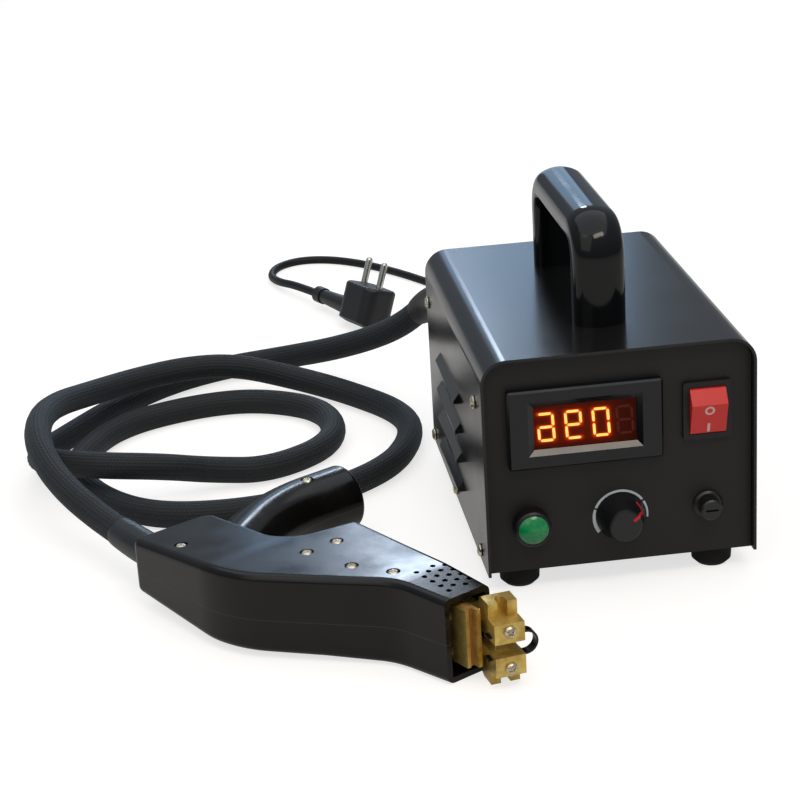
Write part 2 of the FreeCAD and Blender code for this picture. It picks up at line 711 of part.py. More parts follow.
def make_handle():
    """Bridge handle: a crowned section swept up, across and down, with a screw in each leg."""
    front, rear = handle_places()
    top = CASE_TOP + HANDLE_RISE - handle_outer()
    slope = HANDLE_BEND * (1 - math.sqrt(0.5))
    path = [Part.LineSegment(V(0, front, CASE_TOP), V(0, front, top - HANDLE_BEND)).toShape()]
    bend = [V(0, front, top - HANDLE_BEND), V(0, front + slope, top - slope), V(0, front + HANDLE_BEND, top)]
    path.append(Part.Arc(*bend).toShape())
    path.append(Part.LineSegment(V(0, front + HANDLE_BEND, top), V(0, rear - HANDLE_BEND, top)).toShape())
    bend = [V(0, rear - HANDLE_BEND, top), V(0, rear - slope, top - slope), V(0, rear, top - HANDLE_BEND)]
    path.append(Part.Arc(*bend).toShape())
    path.append(Part.LineSegment(V(0, rear, top - HANDLE_BEND), V(0, rear, CASE_TOP)).toShape())
    bar = Part.Wire(path).makePipeShell([handle_section(front)], True, False)
    bores = []
    screws = []
    for y in handle_places():
        bores.append(disc(HANDLE_SCREW[0] + HOLE_GAP, V(0, y, CASE_TOP - 1), Z, HANDLE_SCREW_BITE + 2))
        screws.append(screw(HANDLE_SCREW, V(0, y, CASE_TOP - SHEET), Z, HANDLE_SCREW_BITE + SHEET))
    keep("carry_handle", bar.cut(bores), UNIT)
    keep("handle_screws", group(screws), UNIT)


def frame_wire(x, z, half_w, half_h, y):
    """Upright rectangle about (x, z) at depth y."""
    low_left = V(x - half_w, y, z - half_h)
    low_right = V(x + half_w, y, z - half_h)
    top_right = V(x + half_w, y, z + half_h)
    top_left = V(x - half_w, y, z + half_h)
    return Part.makePolygon([low_left, low_right, top_right, top_left, low_left])


def make_meter():
    """Panel meter: bevelled bezel and body, a tinted window and the digit block behind it."""
    z = FOOT_HEIGHT + METER_Z
    half_w = METER_WIDTH / 2
    half_h = METER_HEIGHT / 2
    soft = METER_BEVEL + 0.5
    corners = [(METER_X - half_w, z - half_h, soft), (METER_X + half_w, z - half_h, soft)]
    corners += [(METER_X + half_w, z + half_h, soft), (METER_X - half_w, z + half_h, soft)]
    bezel = standing(corners, METER_BEZEL)
    bezel.translate(V(0, PANEL_RECESS - METER_BEZEL, 0))
    rim = [edge for edge in bezel.Edges if edge.BoundBox.YMax < PANEL_RECESS - METER_BEZEL + 0.01]
    bezel = bezel.makeChamfer(METER_BEVEL, rim)
    body_size = (METER_BODY_WIDTH, METER_BODY_DEPTH, METER_BODY_HEIGHT)
    body = mid_box(body_size, (METER_X, PANEL_RECESS + METER_BODY_DEPTH / 2 - 0.5, z))
    case = fused([bezel, body])
    face = PANEL_RECESS - METER_BEZEL
    seat = mid_box((WINDOW_WIDTH, 4 * WINDOW_THICK, WINDOW_HEIGHT), (METER_X, face + WINDOW_THICK - 1.0, z))
    mouth_w = WINDOW_WIDTH / 2 + METER_SLOPE
    mouth_h = WINDOW_HEIGHT / 2 + METER_SLOPE
    mouth = frame_wire(METER_X, z, mouth_w, mouth_h, face)
    throat = frame_wire(METER_X, z, mouth_w - 2 * METER_SLOPE, mouth_h - 2 * METER_SLOPE, face + 2 * METER_SLOPE)
    slope = Part.makeLoft([mouth, throat], True, True)
    well_depth = DISPLAY_DEPTH + DISPLAY_GAP
    seat_back = face + 3 * WINDOW_THICK - 1.0
    well_size = (DISPLAY_WIDTH + 2 * FIT_GAP, well_depth, DISPLAY_HEIGHT + 2 * FIT_GAP)
    well = mid_box(well_size, (METER_X, seat_back + well_depth / 2, z))
    keep("meter_case", case.cut([seat, slope, well]), UNIT)
    window_size = (WINDOW_WIDTH - 2 * FIT_GAP, WINDOW_THICK, WINDOW_HEIGHT - 2 * FIT_GAP)
    keep("meter_window", mid_box(window_size, (METER_X, seat_back - WINDOW_THICK / 2, z)), UNIT)
    display = mid_box((DISPLAY_WIDTH, DISPLAY_DEPTH, DISPLAY_HEIGHT), (METER_X, seat_back + well_depth - DISPLAY_DEPTH / 2, z))
    keep("meter_display", display, UNIT)


def rocker_profile():
    """Side view of the rocker about its pivot, as (y, z): a wedge with its ridge above the pivot, rounded ends."""
    high, low = ROCKER_ENDS
    top = V(0, -high, math.sqrt(ROCKER_RADIUS ** 2 - high ** 2))
    foot = V(0, -low, -math.sqrt(ROCKER_RADIUS ** 2 - low ** 2))
    ridge = V(0, -ROCKER_RIDGE[0], ROCKER_RIDGE[1])
    back = math.sqrt(ROCKER_RADIUS ** 2 - ROCKER_BACK ** 2)
    edges = [Part.LineSegment(ridge, top).toShape()]
    edges.append(Part.Arc(top, V(0, 0, ROCKER_RADIUS), V(0, ROCKER_BACK, back)).toShape())
    edges.append(Part.LineSegment(V(0, ROCKER_BACK, back), V(0, ROCKER_TAIL, 0)).toShape())
    edges.append(Part.LineSegment(V(0, ROCKER_TAIL, 0), V(0, ROCKER_BACK, -back)).toShape())
    edges.append(Part.Arc(V(0, ROCKER_BACK, -back), V(0, 0, -ROCKER_RADIUS), foot).toShape())
    edges.append(Part.LineSegment(foot, ridge).toShape())
    return Part.Face(Part.Wire(edges))


def make_switch():
    """Rocker switch: framed housing with a pivot in its walls, the rocker, and rear terminals."""
    z = FOOT_HEIGHT + SWITCH_Z
    pivot = V(SWITCH_X, PANEL_RECESS - SWITCH_BEZEL + ROCKER_FACE - 1.0, z)
    bezel_centre = (SWITCH_X, PANEL_RECESS - SWITCH_BEZEL / 2, z)
    half_w = SWITCH_WIDTH / 2
    half_h = SWITCH_HEIGHT / 2
    corners = [(SWITCH_X - half_w, z - half_h, 1.5), (SWITCH_X + half_w, z - half_h, 1.5)]
    corners += [(SWITCH_X + half_w, z + half_h, 1.5), (SWITCH_X - half_w, z + half_h, 1.5)]
    bezel = standing(corners, SWITCH_BEZEL)
    bezel.translate(V(0, PANEL_RECESS - SWITCH_BEZEL, 0))
    body_size = (SWITCH_BODY_WIDTH, SWITCH_BODY_DEPTH, SWITCH_BODY_HEIGHT)
    body = mid_box(body_size, (SWITCH_X, PANEL_RECESS + SWITCH_BODY_DEPTH / 2 - 0.5, z))
    room = ROCKER_RADIUS + ROCKER_GAP
    well_depth = ROCKER_TAIL + ROCKER_GAP + 12.0
    well_size = (ROCKER_WIDTH + 2 * ROCKER_GAP, well_depth, 2 * room)
    well = mid_box(well_size, (SWITCH_X, pivot.y + ROCKER_TAIL + ROCKER_GAP - well_depth / 2, z))
    span = ROCKER_WIDTH + 2 * ROCKER_PIN_LENGTH
    bore = disc(ROCKER_PIN + 2 * PIN_GAP, pivot - V(span / 2 + PIN_GAP, 0, 0), X, span + 2 * PIN_GAP)
    keep("switch_housing", fused([bezel, body]).cut([well, bore]), UNIT)
    rocker = rocker_profile().extrude(V(ROCKER_WIDTH, 0, 0))
    rocker.translate(V(-ROCKER_WIDTH / 2, 0, 0))
    rocker = fused([rocker, disc(ROCKER_PIN, V(-span / 2, 0, 0), X, span)])
    rocker.rotate(V(0, 0, 0), X, ROCKER_TILT)
    rocker.translate(pivot)
    keep("rocker", rocker, UNIT)
    back = PANEL_RECESS + SWITCH_BODY_DEPTH - 0.5
    tabs = []
    for dx in (-TERMINAL_X, TERMINAL_X):
        for dz in (-TERMINAL_Z, TERMINAL_Z):
            size = (TERMINAL[1], TERMINAL[2], TERMINAL[0])
            tabs.append(mid_box(size, (SWITCH_X + dx, back + TERMINAL[2] / 2, z + dz)))
    keep("switch_terminals", group(tabs), UNIT)


def make_dial():
    """Potentiometer behind the panel, its nut, and the shaft and knob that turn together."""
    axis = V(DIAL_X, 0, FOOT_HEIGHT + DIAL_Z)
    panel = V(0, PANEL_RECESS, 0) + axis
    reach = POT_NUT_THICK + 2.0
    can = disc(POT_DIAMETER, panel + V(0, SHEET, 0), Y, POT_DEPTH)
    bushing = disc(POT_BUSHING, panel - V(0, reach, 0), Y, reach + SHEET + 1)
    bore = disc(SHAFT_DIAMETER + 2 * RUN_GAP, panel - V(0, 2 * reach, 0), Y, 2 * reach + SHEET + SHAFT_SEAT)
    keep("potentiometer", fused([can, bushing]).cut(bore), UNIT)
    nut = hexagon(POT_NUT, POT_NUT_THICK, panel - V(0, POT_NUT_THICK, 0), Y)
    keep("potentiometer_nut", nut.cut(disc(POT_BUSHING + HOLE_GAP, panel - V(0, 9, 0), Y, 18)), UNIT)
    shaft_start = panel - V(0, SHAFT_REACH, 0)
    shaft = disc(SHAFT_DIAMETER, shaft_start, Y, SHAFT_REACH + SHEET + SHAFT_SEAT - RUN_GAP)
    keep("potentiometer_shaft", shaft, UNIT)
    foot = KNOB_BASE / 2
    face = KNOB_FACE / 2
    base = panel - V(0, KNOB_FLOAT, 0)
    room = POT_NUT / math.sqrt(3) + 0.6
    hollow = reach + 0.4 - KNOB_FLOAT
    profile = [(room, 0), (foot, 0), (foot, KNOB_RIM), (foot - KNOB_RIM / 2, 2 * KNOB_RIM)]
    profile += [(face, KNOB_HEIGHT - KNOB_SOFT), (face - KNOB_SOFT / 3, KNOB_HEIGHT - KNOB_SOFT / 3)]
    profile += [(face - KNOB_SOFT, KNOB_HEIGHT), (0, KNOB_HEIGHT), (0, hollow), (room, hollow)]
    knob = turned(profile, base, V(0, -1, 0))
    seat = disc(SHAFT_DIAMETER, panel - V(0, SHAFT_REACH, 0), Y, SHAFT_REACH)
    keep("control_knob", knob.cut(seat), UNIT)


def panel_nut(centre, bore):
    """A nut behind the panel on a threaded barrel."""
    nut = hexagon(PANEL_NUT, PANEL_NUT_THICK, centre + V(0, PANEL_BACK, 0), Y)
    return nut.cut(disc(bore + HOLE_GAP, centre + V(0, PANEL_BACK - 1, 0), Y, PANEL_NUT_THICK + 2))


def make_lamp():
    """Pilot lamp: ring bezel with a barrel through the panel, a domed lens and the nut."""
    axis = V(LAMP_X, 0, FOOT_HEIGHT + LAMP_Z)
    front = axis + V(0, PANEL_RECESS - LAMP_BEZEL_HEIGHT, 0)
    seat = LAMP_LENS / 2 + FIT_GAP
    rim = LAMP_BEZEL / 2
    depth = LAMP_BEZEL_HEIGHT + SHEET + LAMP_BODY_DEPTH
    profile = [(0, LAMP_SEAT), (seat, LAMP_SEAT), (seat, 0), (rim - 1, 0), (rim, 1), (rim, LAMP_BEZEL_HEIGHT)]
    profile += [(LAMP_BODY / 2, LAMP_BEZEL_HEIGHT), (LAMP_BODY / 2, depth), (0, depth)]
    keep("lamp_bezel", turned(profile, front, Y), UNIT)
    half = LAMP_LENS / 2
    ball = (half * half + LAMP_LENS_RISE ** 2) / (2 * LAMP_LENS_RISE)
    dome = Part.makeSphere(ball, front + V(0, ball - LAMP_LENS_RISE, 0))
    dome = dome.common(disc(LAMP_LENS, front - V(0, LAMP_LENS_RISE + 1, 0), Y, LAMP_LENS_RISE + 1))
    foot = disc(LAMP_LENS, front, Y, LAMP_SEAT)
    keep("lamp_lens", fused([dome, foot]), UNIT)
    keep("lamp_nut", panel_nut(axis, LAMP_BODY), UNIT)


def make_fuse():
    """Fuse holder: flanged barrel and nut, a slotted cap, and the cup that carries the fuse."""
    axis = V(FUSE_X, 0, FOOT_HEIGHT + FUSE_Z)
    front = axis + V(0, PANEL_RECESS - FUSE_FLANGE_HEIGHT, 0)
    rim = FUSE_FLANGE / 2
    depth = FUSE_FLANGE_HEIGHT + SHEET + FUSE_BARREL_DEPTH
    bore = FUSE_BORE / 2
    bottom = depth - 2.0
    profile = [(bore, 0), (rim - 1, 0), (rim, 1), (rim, FUSE_FLANGE_HEIGHT), (FUSE_BARREL / 2, FUSE_FLANGE_HEIGHT)]
    profile += [(FUSE_BARREL / 2, depth), (0, depth), (0, bottom), (bore, bottom)]
    keep("fuse_holder", turned(profile, front, Y), UNIT)
    keep("fuse_nut", panel_nut(axis, FUSE_BARREL), UNIT)
    plug = bore - RUN_GAP
    cup = plug - FUSE_PLUG_WALL
    head = FUSE_CAP / 2
    cap_back = FUSE_PLUG_DEPTH
    profile = [(0, -FUSE_CAP_HEIGHT), (head - 0.8, -FUSE_CAP_HEIGHT), (head, 0.8 - FUSE_CAP_HEIGHT), (head, 0), (plug, 0)]
    profile += [(plug, cap_back), (cup, cap_back), (cup, cap_back - FUSE_CUP_LENGTH), (0, cap_back - FUSE_CUP_LENGTH)]
    cap = turned(profile, front, Y)
    slot = mid_box((FUSE_SLOT[0], 2 * FUSE_SLOT[2], FUSE_SLOT[1]), front - V(0, FUSE_CAP_HEIGHT, 0))
    keep("fuse_cap", cap.cut(slot), UNIT)
    shell = cup - RUN_GAP
    tip = cap_back - FUSE_CUP_LENGTH
    hold = FUSE_TUBE / 2 + RUN_GAP
    profile = [(0, tip), (shell, tip), (shell, cap_back), (hold, cap_back), (hold, tip + FUSE_CUP_WALL), (0, tip + FUSE_CUP_WALL)]
    keep("fuse_carrier", turned(profile, front, Y), UNIT)
    link = disc(FUSE_TUBE, front + V(0, tip + FUSE_CUP_WALL, 0), Y, FUSE_LENGTH)
    keep("fuse_cartridge", link, UNIT)


def make_transformer():
    """Transformer: laminated core with two windows, two windings on its middle leg, strap, bolts."""
    base = FLOOR_SHEET
    size = (CORE_WIDTH, CORE_STACK, CORE_HEIGHT)
    core = mid_box(size, (0, CORE_Y, base + CORE_HEIGHT / 2))
    window = (CORE_WIDTH - 4 * CORE_LEG) / 2
    tall = CORE_HEIGHT - 2 * CORE_LEG
    holes = []
    for side in (-1, 1):
        x = side * (CORE_LEG + window / 2)
        holes.append(mid_box((window, CORE_STACK + 2, tall), (x, CORE_Y, base + CORE_HEIGHT / 2)))
    keep("transformer_core", core.cut(holes), UNIT)
    inner = (2 * CORE_LEG + 2 * WINDING_GAP, CORE_STACK + 2 * WINDING_GAP)
    outer = (inner[0] + 2 * (window - 2 * WINDING_GAP), inner[1] + 2 * (window - 2 * WINDING_GAP))
    foot = base + CORE_LEG + WINDING_GAP
    head = base + CORE_HEIGHT - CORE_LEG - WINDING_GAP
    levels = [("primary_winding", foot, foot + PRIMARY_SHARE), ("secondary_winding", foot + PRIMARY_SHARE, head)]
    for name, low, high in levels:
        soft = 6.0
        half_x = outer[0] / 2
        half_y = outer[1] / 2
        ring = [(-half_x, CORE_Y - half_y, soft), (half_x, CORE_Y - half_y, soft)]
        ring += [(half_x, CORE_Y + half_y, soft), (-half_x, CORE_Y + half_y, soft)]
        winding = plate(ring, high - low)
        winding.translate(V(0, 0, low))
        keep(name, winding.cut(mid_box((inner[0], inner[1], 200), (0, CORE_Y, low))), UNIT)
    strap_w = CORE_WIDTH + 2 * SHEET
    lower = mid_box((strap_w, CORE_STACK / 2, CORE_HEIGHT + SHEET), (0, CORE_Y, base + (CORE_HEIGHT + SHEET) / 2))
    strap = lower.cut(mid_box((CORE_WIDTH, CORE_STACK, CORE_HEIGHT), (0, CORE_Y, base + CORE_HEIGHT / 2)))
    feet = []
    bolts = []
    for side in (-1, 1):
        x = side * (strap_w / 2 + STRAP_FOOT / 2 - SHEET / 2)
        feet.append(mid_box((STRAP_FOOT + SHEET, CORE_STACK / 2, SHEET), (x, CORE_Y, base + SHEET / 2)))
        bolt_x = side * (strap_w / 2 + STRAP_FOOT / 2)
        bolts.append(screw(CASE_SCREW, V(bolt_x, CORE_Y, base + SHEET), V(0, 0, -1), SHEET))
    strap = fused([strap] + feet)
    holes = [disc(CASE_SCREW[0] + 2 * HOLE_GAP, V(bolt.BoundBox.Center.x, CORE_Y, base - 1), Z, 4) for bolt in bolts]
    keep("transformer_strap", strap.cut(holes), UNIT)
    keep("transformer_bolts", group(bolts), UNIT)


def make_board():
    """Control board on four posts, with a finned heat sink standing on it."""
    low = FLOOR_SHEET + STANDOFF_HEIGHT
    centre = (0, BOARD_Y, low + BOARD_THICK / 2)
    board = mid_box((BOARD_WIDTH, BOARD_DEPTH, BOARD_THICK), centre)
    posts = []
    for x in (-1, 1):
        for y in (-1, 1):
            across = x * (BOARD_WIDTH / 2 - STANDOFF_INSET)
            along = BOARD_Y + y * (BOARD_DEPTH / 2 - STANDOFF_INSET)
            posts.append(hexagon(STANDOFF_WIDTH, STANDOFF_HEIGHT, V(across, along, FLOOR_SHEET), Z))
            board = board.cut(disc(BOARD_SCREW_HOLE, V(across, along, low - 1), Z, BOARD_THICK + 2))
    keep("control_board", board, UNIT)
    keep("board_standoffs", group(posts), UNIT)
    base = low + BOARD_THICK
    sink = [mid_box((SINK_WIDTH, SINK_BASE, SINK_HEIGHT), (0, BOARD_Y, base + SINK_HEIGHT / 2))]
    step = (SINK_WIDTH - SINK_FIN) / (SINK_FINS - 1)
    for k in range(SINK_FINS):
        x = k * step + SINK_FIN / 2 - SINK_WIDTH / 2
        sink.append(mid_box((SINK_FIN, SINK_DEPTH, SINK_HEIGHT), (x, BOARD_Y + SINK_DEPTH / 2 - 1, base + SINK_HEIGHT / 2)))
    keep("heat_sink", fused(sink), UNIT)


def make_exits():
    """Hose gland with its nut, and the strain relief of the mains lead, in the rear panel."""
    hose = V(HOSE_EXIT_X, REAR_FACE, FOOT_HEIGHT + HOSE_EXIT_Z)
    half = GLAND_DIAMETER / 2
    bore = HOSE_DIAMETER / 2 + FIT_GAP
    inside = -SHEET - GLAND_NUT_THICK - 1
    profile = [(bore - 2, inside), (GLAND_THREAD / 2, inside), (GLAND_THREAD / 2, 0), (half, 0), (half, GLAND_LENGTH * 0.5)]
    profile += [(half - 1, GLAND_LENGTH - 3), (half - 2.4, GLAND_LENGTH), (bore - 2, GLAND_LENGTH)]
    keep("hose_gland", turned(profile, hose, Y), UNIT)
    nut = hexagon(GLAND_DIAMETER, GLAND_NUT_THICK, hose - V(0, SHEET + GLAND_NUT_THICK, 0), Y)
    keep("hose_gland_nut", nut.cut(disc(GLAND_THREAD + HOLE_GAP, hose - V(0, 20, 0), Y, 40)), UNIT)
    mains = V(MAINS_EXIT_X, REAR_FACE, FOOT_HEIGHT + MAINS_EXIT_Z)
    neck = RELIEF_NECK / 2
    profile = [(0, -4), (neck + 1, -4), (neck + 1, -SHEET), (neck, -SHEET), (neck, 0), (RELIEF_DIAMETER / 2, 0)]
    profile += [(RELIEF_DIAMETER / 2, 3), (RELIEF_TIP / 2, RELIEF_LENGTH), (0, RELIEF_LENGTH)]
    keep("mains_strain_relief", turned(profile, mains, Y), UNIT)


def hose_points():
    """The hose's route from the gland, with its last run straight out of the tool's heel."""
    start = UNIT.multVec(V(HOSE_EXIT_X, REAR_FACE + GLAND_LENGTH + HOSE_START_GAP, FOOT_HEIGHT + HOSE_EXIT_Z))
    straight = TOOL.multVec(V(BODY_LENGTH + HOSE_LAST_RUN, HOSE_ENTRY_W, 0))
    end = TOOL.multVec(V(BODY_LENGTH, HOSE_ENTRY_W, 0))
    return [tuple(start)] + HOSE_ROUTE[1:] + [tuple(straight), tuple(end)]


def make_hose():
    """Sleeved hose on the floor, and the shrunk sleeve where it enters the hand tool."""
    cord("tool_hose", hose_points(), HOSE_DIAMETER)
    start = V(BODY_LENGTH, HOSE_ENTRY_W, 0)
    sleeve = disc(SLEEVE_DIAMETER, start, X, SLEEVE_LENGTH)
    sleeve = sleeve.cut(disc(HOSE_DIAMETER + 2 * SLEEVE_GAP, start - X, X, SLEEVE_LENGTH + 2))
    keep("hose_end_sleeve", sleeve, TOOL)


def coil_point(turns):
    """Centre of the coiled lead after some turns: in on the low layer, up, and out on the high one."""
    half_climb = 0.25
    low = CORD_DIAMETER / 2 + COIL_LIFT
    climb = CORD_DIAMETER + COIL_STRAND_GAP
    inner_end = COIL_TURNS
    outer_start = COIL_TURNS + 2 * half_climb
    share = min(max((turns - inner_end) / (2 * half_climb), 0.0), 1.0)
    wound = min(turns, inner_end) - max(turns - outer_start, 0.0)
    radius = COIL_RADIUS - COIL_PITCH * wound
    level = low + climb * share * share * (3 - 2 * share)
    angle = 2 * math.pi * turns
    return V(COIL_X + radius * math.cos(angle), COIL_Y + radius * math.sin(angle), level)


def coil_direction(turns):
    """Direction of the coiled lead at a point."""
    step = 1e-4
    return (coil_point(turns + step) - coil_point(turns - step)).normalize()


def coil_total():
    """Turns of both layers and the climb between them."""
    return 2 * COIL_TURNS + 0.5


def coil_edges():
    """The coil's path: biarcs of a quarter turn, with a straight end of one diameter each side."""
    quarters = int(round(coil_total() * 4))
    edges = []
    first = coil_point(0)
    lead = coil_direction(0)
    edges.append(Part.LineSegment(first - lead * CORD_DIAMETER, first).toShape())
    for k in range(quarters):
        a = k / 4
        b = (k + 1) / 4
        edges += biarc(coil_point(a), coil_direction(a), coil_point(b), coil_direction(b))
    last = coil_point(quarters / 4)
    out = coil_direction(quarters / 4)
    edges.append(Part.LineSegment(last, last + out * CORD_DIAMETER).toShape())
    return edges


def plug_neck():
    """Root and tip of the plug's neck, and its direction."""
    turn = math.radians(PLUG_TURN)
    along = V(math.cos(turn), math.sin(turn), 0)
    root = V(PLUG_X, PLUG_Y, PLUG_NECK_Z)
    return root, root + along * PLUG_NECK_LENGTH, along


def make_mains():
    """Mains lead: down from the case, a tied coil, then along the floor to the plug."""
    exit_y = REAR_FACE + RELIEF_LENGTH + LEAD_START_GAP
    exit_point = UNIT.multVec(V(MAINS_EXIT_X, exit_y, FOOT_HEIGHT + MAINS_EXIT_Z))
    entry = coil_point(0) - coil_direction(0) * CORD_DIAMETER
    leave = coil_point(coil_total()) + coil_direction(coil_total()) * CORD_DIAMETER
    cord("mains_lead", [tuple(exit_point)] + LEAD_ROUTE + [tuple(entry)], CORD_DIAMETER)
    edges = coil_edges()
    coil = tube(edges, CORD_DIAMETER, entry, coil_direction(0))
    print("mains_coil length", round(sum(edge.Length for edge in edges), 1))
    print("mains_coil gap to itself", round(self_gap(edges, CORD_DIAMETER), 2))
    keep("mains_coil", coil)
    root, tip, along = plug_neck()
    cord("mains_cord", [tuple(leave)] + CORD_ROUTE + [tuple(tip)], CORD_DIAMETER)


def make_coil_tie():
    """A flat tie round the strands on the far side of the coil."""
    strands = [coil_point(k + 0.5) for k in range(int(coil_total()))]
    reach = [COIL_X - p.x for p in strands]
    low = min(p.z for p in strands) - CORD_DIAMETER / 2 - TIE_GAP
    high = max(p.z for p in strands) + CORD_DIAMETER / 2 + TIE_GAP
    near = COIL_X - min(reach) + CORD_DIAMETER / 2 + TIE_GAP
    far = COIL_X - max(reach) - CORD_DIAMETER / 2 - TIE_GAP
    soft = 2.0
    inner = [(far, low, soft), (near, low, soft), (near, high, soft), (far, high, soft)]
    outer = [(far - TIE_WALL, low - TIE_WALL, soft + TIE_WALL), (near + TIE_WALL, low - TIE_WALL, soft + TIE_WALL)]
    outer += [(near + TIE_WALL, high + TIE_WALL, soft + TIE_WALL), (far - TIE_WALL, high + TIE_WALL, soft + TIE_WALL)]
    tie = standing(outer, TIE_WIDTH).cut(standing(inner, TIE_WIDTH))
    tie.translate(V(0, COIL_Y - TIE_WIDTH / 2, 0))
    keep("coil_tie", tie)


def make_plug():
    """Angled two-pin plug rolled onto one flat of its back: body, tapering neck with a collar, two round pins."""
    half = PLUG_LENGTH / 2
    side = PLUG_WIDTH / 2
    corners = [(-half, -side, PLUG_CORNER), (half, -side, PLUG_CORNER)]
    corners += [(half, side, PLUG_CORNER), (-half, side, PLUG_CORNER)]
    body = plate(corners, PLUG_HEIGHT)
    rim = [edge for edge in body.Edges if edge.BoundBox.ZMin > PLUG_HEIGHT - 0.01]
    body = body.makeFillet(PLUG_EDGE, rim)
    axis = V(0, 0, PLUG_NECK_Z)
    flats = []
    for turn in (-PLUG_ROLL, PLUG_ROLL):
        ground = mid_box((2 * PLUG_LENGTH, 2 * PLUG_WIDTH, PLUG_HEIGHT), (0, 0, -PLUG_HEIGHT / 2))
        ground.rotate(axis, X, turn)
        flats.append(ground)
    body = body.cut(flats)
    pins = []
    ball = PIN_DIAMETER / 2
    for end in (-1, 1):
        start = V(end * PIN_SPACING / 2, 0, PLUG_HEIGHT)
        straight = PIN_LENGTH - ball
        pin = fused([disc(PIN_DIAMETER, start, Z, straight), Part.makeSphere(ball, start + Z * straight)])
        pin.rotate(axis, X, PLUG_ROLL)
        pins.append(pin)
    body.rotate(axis, X, PLUG_ROLL)
    place = Placement(V(PLUG_X, PLUG_Y, 0), Rotation(Z, PLUG_TURN))
    neck = Part.makeCone(PLUG_NECK_ROOT / 2, PLUG_NECK_TIP / 2, PLUG_NECK_LENGTH, axis, X)
    collar = disc(PLUG_COLLAR[0], axis + X * (PLUG_NECK_LENGTH - PLUG_COLLAR[1]), X, PLUG_COLLAR[1])
    keep("plug_body", fused([body, neck, collar]), place)
    keep("plug_pins", group(pins), place)


def body_plan(inset):
    """Outline of the hand tool's body in plan, drawn in by an inset."""
    corners = [(0, 0, 0), (BODY_BARREL, 0, 4.0), GAP_FLOOR, (BODY_LENGTH, GAP_FLOOR[1], 8.0)]
    corners += [(BODY_LENGTH, BODY_HEEL, 5.0), BODY_HIP, BODY_WAIST, (0, BODY_NOSE, 0)]
    wire = rounded_wire(corners)
    return wire.makeOffset2D(-inset) if inset else wire


def body_depth(profile, inset):
    """Half of the body's side view, from the parting plane out, extruded right across the plan."""
    outline = [(-5, 0, 0), (BODY_LENGTH + 5, 0, 0), (BODY_LENGTH + 5, profile[-1][1] - inset, 0)]
    for s, height in reversed(profile[1:-1]):
        outline.append((s, height - inset, BODY_BLEND))
    outline.append((-5, profile[0][1] - inset, 0))
    span = 2 * (BODY_HEEL + GRIP_DIAMETER)
    side = standing(outline, span)
    side.translate(V(0, -span / 2, 0))
    return side


def half_height(profile, s):
    """Height of the body's skin from the parting plane at a distance back from the nose."""
    for (s0, h0), (s1, h1) in zip(profile, profile[1:]):
        if s <= s1:
            return h0 + (h1 - h0) * (s - s0) / (s1 - s0)
    return profile[-1][1]


def grip_tube():
    """Round grip that leaves the body at a lean and bends square to the barrel."""
    lean = math.radians(GRIP_LEAN)
    away = V(math.sin(lean), -math.cos(lean), 0)
    root = V(GRIP_ROOT[0], GRIP_ROOT[1], 0)
    corner = root + away * ((GRIP_AXIS - GRIP_ROOT[0]) / math.sin(lean))
    cut = GRIP_BEND * math.tan(lean / 2)
    start = corner - away * cut
    finish = corner - Y * cut
    inward = (V(0, -1, 0) - away).normalize()
    middle = corner + inward * (GRIP_BEND / math.cos(lean / 2) - GRIP_BEND)
    end = V(GRIP_AXIS, GRIP_END, 0)
    path = [Part.LineSegment(root, start).toShape(), Part.Arc(start, middle, finish).toShape()]
    path.append(Part.LineSegment(finish, end).toShape())
    grip = tube(path, GRIP_DIAMETER, root, away)
    rim = [edge for edge in grip.Edges if edge.BoundBox.YMax < GRIP_END + 0.01]
    return grip.makeFillet(GRIP_EDGE, rim)


def shell_half(profile):
    """Half shell of the hand tool over the parting plane, hollow from the nose to the finger gap."""
    tall = 40.0
    block = Part.Face(body_plan(0)).extrude(V(0, 0, tall)).common(body_depth(profile, 0))
    skin = [edge for edge in block.Edges if edge.BoundBox.ZMin > 6 and edge.BoundBox.XMax > 0.01]
    skin = [edge for edge in skin if edge.BoundBox.ZLength < 8 and not crosses(edge)]
    block = block.makeFillet(BODY_EDGE, skin)
    keep_up = mid_box((400, 400, tall), (100, 0, tall / 2))
    half = fused([block, grip_tube().common(keep_up)])
    cavity = Part.Face(body_plan(SHELL_WALL)).extrude(V(0, 0, tall)).common(body_depth(profile, SHELL_WALL))
    cavity = cavity.common(mid_box((2 * CAVITY_LENGTH, 400, 2 * tall), (0, 0, 0)))
    mouth_w = BODY_NOSE - 2 * SHELL_WALL
    mouth_h = profile[0][1] - SHELL_WALL
    mouth = Part.makeBox(3 * SHELL_WALL, mouth_w, mouth_h, V(-SHELL_WALL, SHELL_WALL, 0))
    half = half.cut(cavity.fuse(mouth))
    bosses = []
    for s, w in BOSS_PLACES:
        bosses.append(disc(BOSS_DIAMETER, V(s, w, 0), Z, half_height(profile, s) - SHELL_WALL / 2))
    return fused([half] + bosses)


def crosses(edge):
    """True for an edge that runs across the skin between two of its stretches."""
    box = edge.BoundBox
    straight = box.ZLength < 0.01 and box.XLength < 0.01
    return straight and box.XMax < BODY_LENGTH - 1


def shell_screw_places():
    """Screw axes on the hand tool, with the depth of each head below the skin."""
    places = [(s, w, half_height(BODY_TOP, s)) for s, w in BOSS_PLACES]
    places.append((HEEL_SCREW[0], HEEL_SCREW[1], half_height(BODY_TOP, HEEL_SCREW[0])))
    places.append((GRIP_SCREW[0], GRIP_SCREW[1], GRIP_DIAMETER / 2))
    return places


